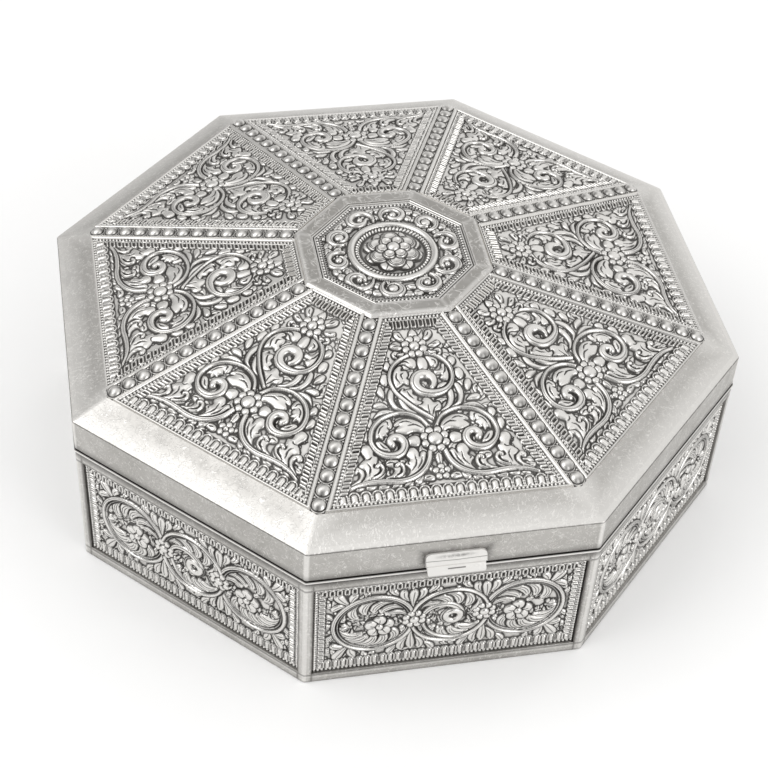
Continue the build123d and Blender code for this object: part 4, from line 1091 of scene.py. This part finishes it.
def band_marks(m):
    """Bright corners and top edge, from wear and painted highlights; a dark line just under the top edge;
    painted shade along its foot, over its lower part and round the thumbpiece.
    """
    mitre = m.octagon()[1]
    above = m.math("SUBTRACT", m.z, thumb_top * mm)
    beside = m.math("SUBTRACT", m.math("ABSOLUTE", m.x), (thumb_half + 0.05) * mm)
    shade_round_thumb = m.fade(m.most(above, beside), 0, 2.4, 0.85)
    shade_round_thumb = m.math("MULTIPLY", shade_round_thumb, m.span(m.noise(260, 3, 0.6), 0.3, 0.65, 0.3, 1))
    shade_round_thumb = m.math("MULTIPLY", shade_round_thumb, m.math("LESS_THAN", m.y, -90 * mm))
    seam_shadow = m.fade(m.z, band_foot + 0.2, band_foot + 0.7)
    shade = m.fade(m.z, band_foot + 0.1, band_foot + 2.6, 0.55)
    dark = m.most(seam_shadow, shade, m.line(m.z, border_foot + 0.25, 0.2, 0.8), shade_round_thumb)
    return m.most(m.fade(mitre, 0.4, 1), m.fade(m.z, border_foot + 0.4, border_foot + 0.5, 0, 1)), dark


def frame_marks(m):
    """Bright corners, from wear and painted highlights, and painted highlights on the bevels round the
    opening; painted shade under the rim and along the opening, and darker towards the bottom.
    """
    mitre = m.octagon()[1]
    along = m.math("SUBTRACT", frame_half * mm, mitre)
    window_shade = m.most(m.line(along, window_half + 0.3, 0.5, 0.6), m.line(m.z, window_foot - 0.3, 0.5, 0.6),
                    m.line(m.z, window_top + 0.4, 0.6, 0.6))
    dark = m.most(m.fade(m.z, rim_foot - 2.1, rim_foot, 0, 0.7), m.fade(m.z, 0, 1.2, 0.5), window_shade)
    bevel_highlight = m.most(m.line(m.z, window_foot - 1.2, 0.5, 0.5), m.line(along, window_half + 1.2, 0.4, 0.4))
    return m.most(m.fade(mitre, 0.4, 1), bevel_highlight), dark


def rim_marks(m):
    """Bright, from wear and a painted highlight, with three dark lines of painted shade: in its groove and
    along its top and foot.
    """
    middle = m.line(m.z, (rim_foot + rim_top) / 2, 0.12, 0.6)
    return 1.6, m.most(middle, m.line(m.z, rim_foot, 0.15, 0.8), m.line(m.z, rim_top, 0.22, 1))


def ring_marks(m):
    """Bright along both edges and at the mitres, dark round the centre plate."""
    reach, mitre = m.octagon()
    outer_edge = m.fade(reach, ring_outer - 1.85, ring_outer - 0.85, 0, 0.9)
    inner_edge = m.line(reach, ring_inner + 0.15, 0.45, 0.7)
    dark = m.line(reach, ring_inner - 0.15, 0.3, 0.7)
    return m.most(outer_edge, inner_edge, m.fade(mitre, 0, 1, 0.5)), dark


def thumb_marks(m):
    """Rubbed bright, with a dark step line, darker patches near the top, a painted shadow along its foot and
    sides, and a short scratch.
    """
    across = m.math("ABSOLUTE", m.x)
    step = m.math("SUBTRACT", m.z, m.math("MULTIPLY", across, 0.02))
    top_darkening = m.math("MULTIPLY", m.fade(across, 1.5, 6.5), m.span(m.noise(420, 3, 0.6), 0.42, 0.6))
    top_darkening = m.math("MULTIPLY", top_darkening, m.line(m.z, thumb_top - 0.9, 0.7, 0.7))
    foot_shadow = m.fade(m.z, thumb_foot + 0.1, thumb_foot + 1)
    edge = m.most(foot_shadow, m.fade(across, thumb_half - 0.35, thumb_half, 0, 0.6))
    scratch = m.math("MULTIPLY", m.line(m.z, thumb_foot + 2.5, 0.24, 1), m.fade(across, 2.4, 2.6))
    return 1.6, m.most(m.line(step, thumb_top - 2.1, 0.16, 0.8), top_darkening, edge, scratch)


plain = plain_silver("plain_silver")
finishes = {
    "lid_border": plain_silver("border_silver", 0.5, 0.15, marks=border_marks),
    "lid_band": plain_silver("band_silver", 0.8, marks=band_marks),
    "base_rim": plain_silver("rim_silver", 0.3, 0.3, marks=rim_marks, metal=0.4),
    "centre_ring": plain_silver("ring_silver", 0.95, 0.9, 0.85, 300, ring_marks),
    "thumbpiece": plain_silver("thumb_silver", 0.0, 0.2, 0.3, marks=thumb_marks, metal=0.4),
}
framed = plain_silver("frame_silver", 0.7, 0.6, marks=frame_marks)
chased = chased_silver("chased_silver")

for node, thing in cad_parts.items():
    thing.data.materials.clear()
    thing.data.materials.append(framed if node.startswith("side_frame") else finishes.get(node, plain))


def lay(name, body, node, relief, place, depth, maker):
    """Makes a chased piece of a relief, in place of a node."""
    x, y, h, ink = (values.reshape(relief.shape) for values in (relief.x, relief.y, relief.h, relief.ink))
    under = place.points(x, y, np.full(relief.shape, -depth))
    piece = maker(name, place.points(x, y, h), under, oxide_shade_and_polish_values(h, ink))
    piece.data.materials.append(chased)
    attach(piece, body)
    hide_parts(node)


lid_relief = lid_panel()
side_relief = side_panel()
strip_relief = bead_strip()
roof_way = (0, cos(roof_slope), sin(roof_slope)), (0, 0, 1 / cos(roof_slope))
ridge_way = (0, cos(ridge_slope), sin(ridge_slope)), (0, 0, 1 / cos(ridge_slope))
lid_depth = lid_sheet * cos(roof_slope)
strip_depth = lid_sheet * cos(ridge_slope)
for index in range(sides):
    number = index + 1
    turn = index * 2 * half_side
    place = Place((0, -border_inner, border_top), *roof_way, turn)
    lay(f"chased_lid_panel_{number}", "lid", f"lid_panel_{number}", lid_relief, place, lid_depth, solid_grid)
    place = Place((0, -side_face, window_foot), (0, 0, 1), (0, -1, 0), turn)
    lay(f"chased_side_panel_{number}", "base", f"side_panel_{number}", side_relief, place, side_sheet,
        solid_grid)
    place = Place((0, -ridge_outer, border_top), *ridge_way, turn + half_side)
    lay(f"beaded_strip_{number}", "lid", f"bead_strip_{number}", strip_relief, place, strip_depth, solid_grid)

level = Place((0, 0, plate_top), (0, 1, 0), (0, 0, 1))
lay("chased_centre_plate", "lid", "centre_plate", centre_plate(), level, lid_sheet, solid_disc)
lay("domed_rosette", "lid", "centre_rosette", rosette(), level, 0.05, solid_disc)

# Floor, which reads as white in the background and keeps the box's soft shadow
floor_lift = 0.07
bpy.ops.mesh.primitive_plane_add(size=8)
floor = bpy.context.object
floor.name = "floor"
floor_material = bpy.data.materials.new("floor_paper")
m = Maker(floor_material)
paper = m.node("ShaderNodeBsdfDiffuse", {"Color": (0.93, 0.93, 0.93, 1)})
rays = m.node("ShaderNodeLightPath", {}).outputs
seen = m.most(*(rays[kind] for kind in ("Is Camera Ray", "Is Glossy Ray", "Is Transmission Ray")))
lift = m.node("ShaderNodeEmission", {"Strength": m.math("MULTIPLY", seen, floor_lift)})
both = m.node("ShaderNodeAddShader", {0: paper.outputs[0], 1: lift.outputs[0]})
m.node("ShaderNodeOutputMaterial", {"Surface": both.outputs[0]})
floor.data.materials.append(floor_material)

# World: a soft studio with brighter patches and a dimmer one. Each has its direction, the cosines
# at its core and at its edge, and the light that it adds
sky_patches = (
    (unit(0.10, 0.75, 0.65), 0.70, 0.0, 0.66),
    (unit(-0.42, 0.12, 0.90), 0.99, 0.62, 0.33),
    (unit(-0.35, 0.80, 0.45), 0.98, 0.60, -0.40),
    (unit(0.62, -0.65, 0.38), 0.96, 0.70, 0.70),
    (unit(-0.85, -0.45, 0.40), 0.97, 0.75, 0.60),
)
world = bpy.data.worlds.new("studio")
bpy.context.scene.world = world
m = Maker(world)
sky = m.node("ShaderNodeTexCoord", {}).outputs["Generated"]
light_level = 0.30
for direction, core, edge, light in sky_patches:
    facing = m.node("ShaderNodeVectorMath", {0: sky, 1: tuple(direction)}, operation="DOT_PRODUCT")
    inputs = {"Value": facing.outputs["Value"], "From Min": edge, "From Max": core}
    share = m.node("ShaderNodeMapRange", inputs, interpolation_type="SMOOTHERSTEP").outputs["Result"]
    light_level = m.math("ADD", light_level, m.math("MULTIPLY", share, light))
studio = m.node("ShaderNodeBackground", {"Color": (1, 0.997, 0.99, 1), "Strength": light_level})
m.node("ShaderNodeOutputWorld", {"Surface": studio.outputs[0]})


def softbox(name, place, size, power):
    """Square lamp that faces the box."""
    light = bpy.data.lights.new(name, "AREA")
    light.size = size
    light.energy = power
    lamp = bpy.data.objects.new(name, light)
    lamp.location = place
    facing = Vector((0, 0, 0.05)) - Vector(place)
    lamp.rotation_euler = facing.to_track_quat("-Z", "Y").to_euler()
    bpy.context.scene.collection.objects.link(lamp)


softbox("overhead", (-0.75, -0.10, 0.95), 0.9, 3.0)
softbox("front_right", (0.75, -0.95, 0.55), 0.8, 3.4)

# Camera, fitted to the corners of the box
azimuth = radians(-12.937)
elevation = radians(44.305)
roll = radians(3.623)
camera_distance = 0.56199
camera_target = Vector((-0.002777, -0.01132, 0.030))
back = Vector((sin(azimuth) * cos(elevation), -cos(azimuth) * cos(elevation), sin(elevation)))
right = Vector((cos(azimuth), sin(azimuth), 0))
above = back.cross(right)
camera_right = cos(roll) * right + sin(roll) * above
camera_above = -sin(roll) * right + cos(roll) * above
turned = Matrix((camera_right, camera_above, back)).transposed().to_4x4()
lens = bpy.data.cameras.new("camera")
lens.lens = 83.38
lens.sensor_width = 36
lens.clip_start = 0.01
camera = bpy.data.objects.new("camera", lens)
camera.matrix_world = Matrix.Translation(camera_target + back * camera_distance) @ turned
bpy.context.scene.collection.objects.link(camera)
bpy.context.scene.camera = camera

bpy.context.scene.view_settings.view_transform = "Standard"
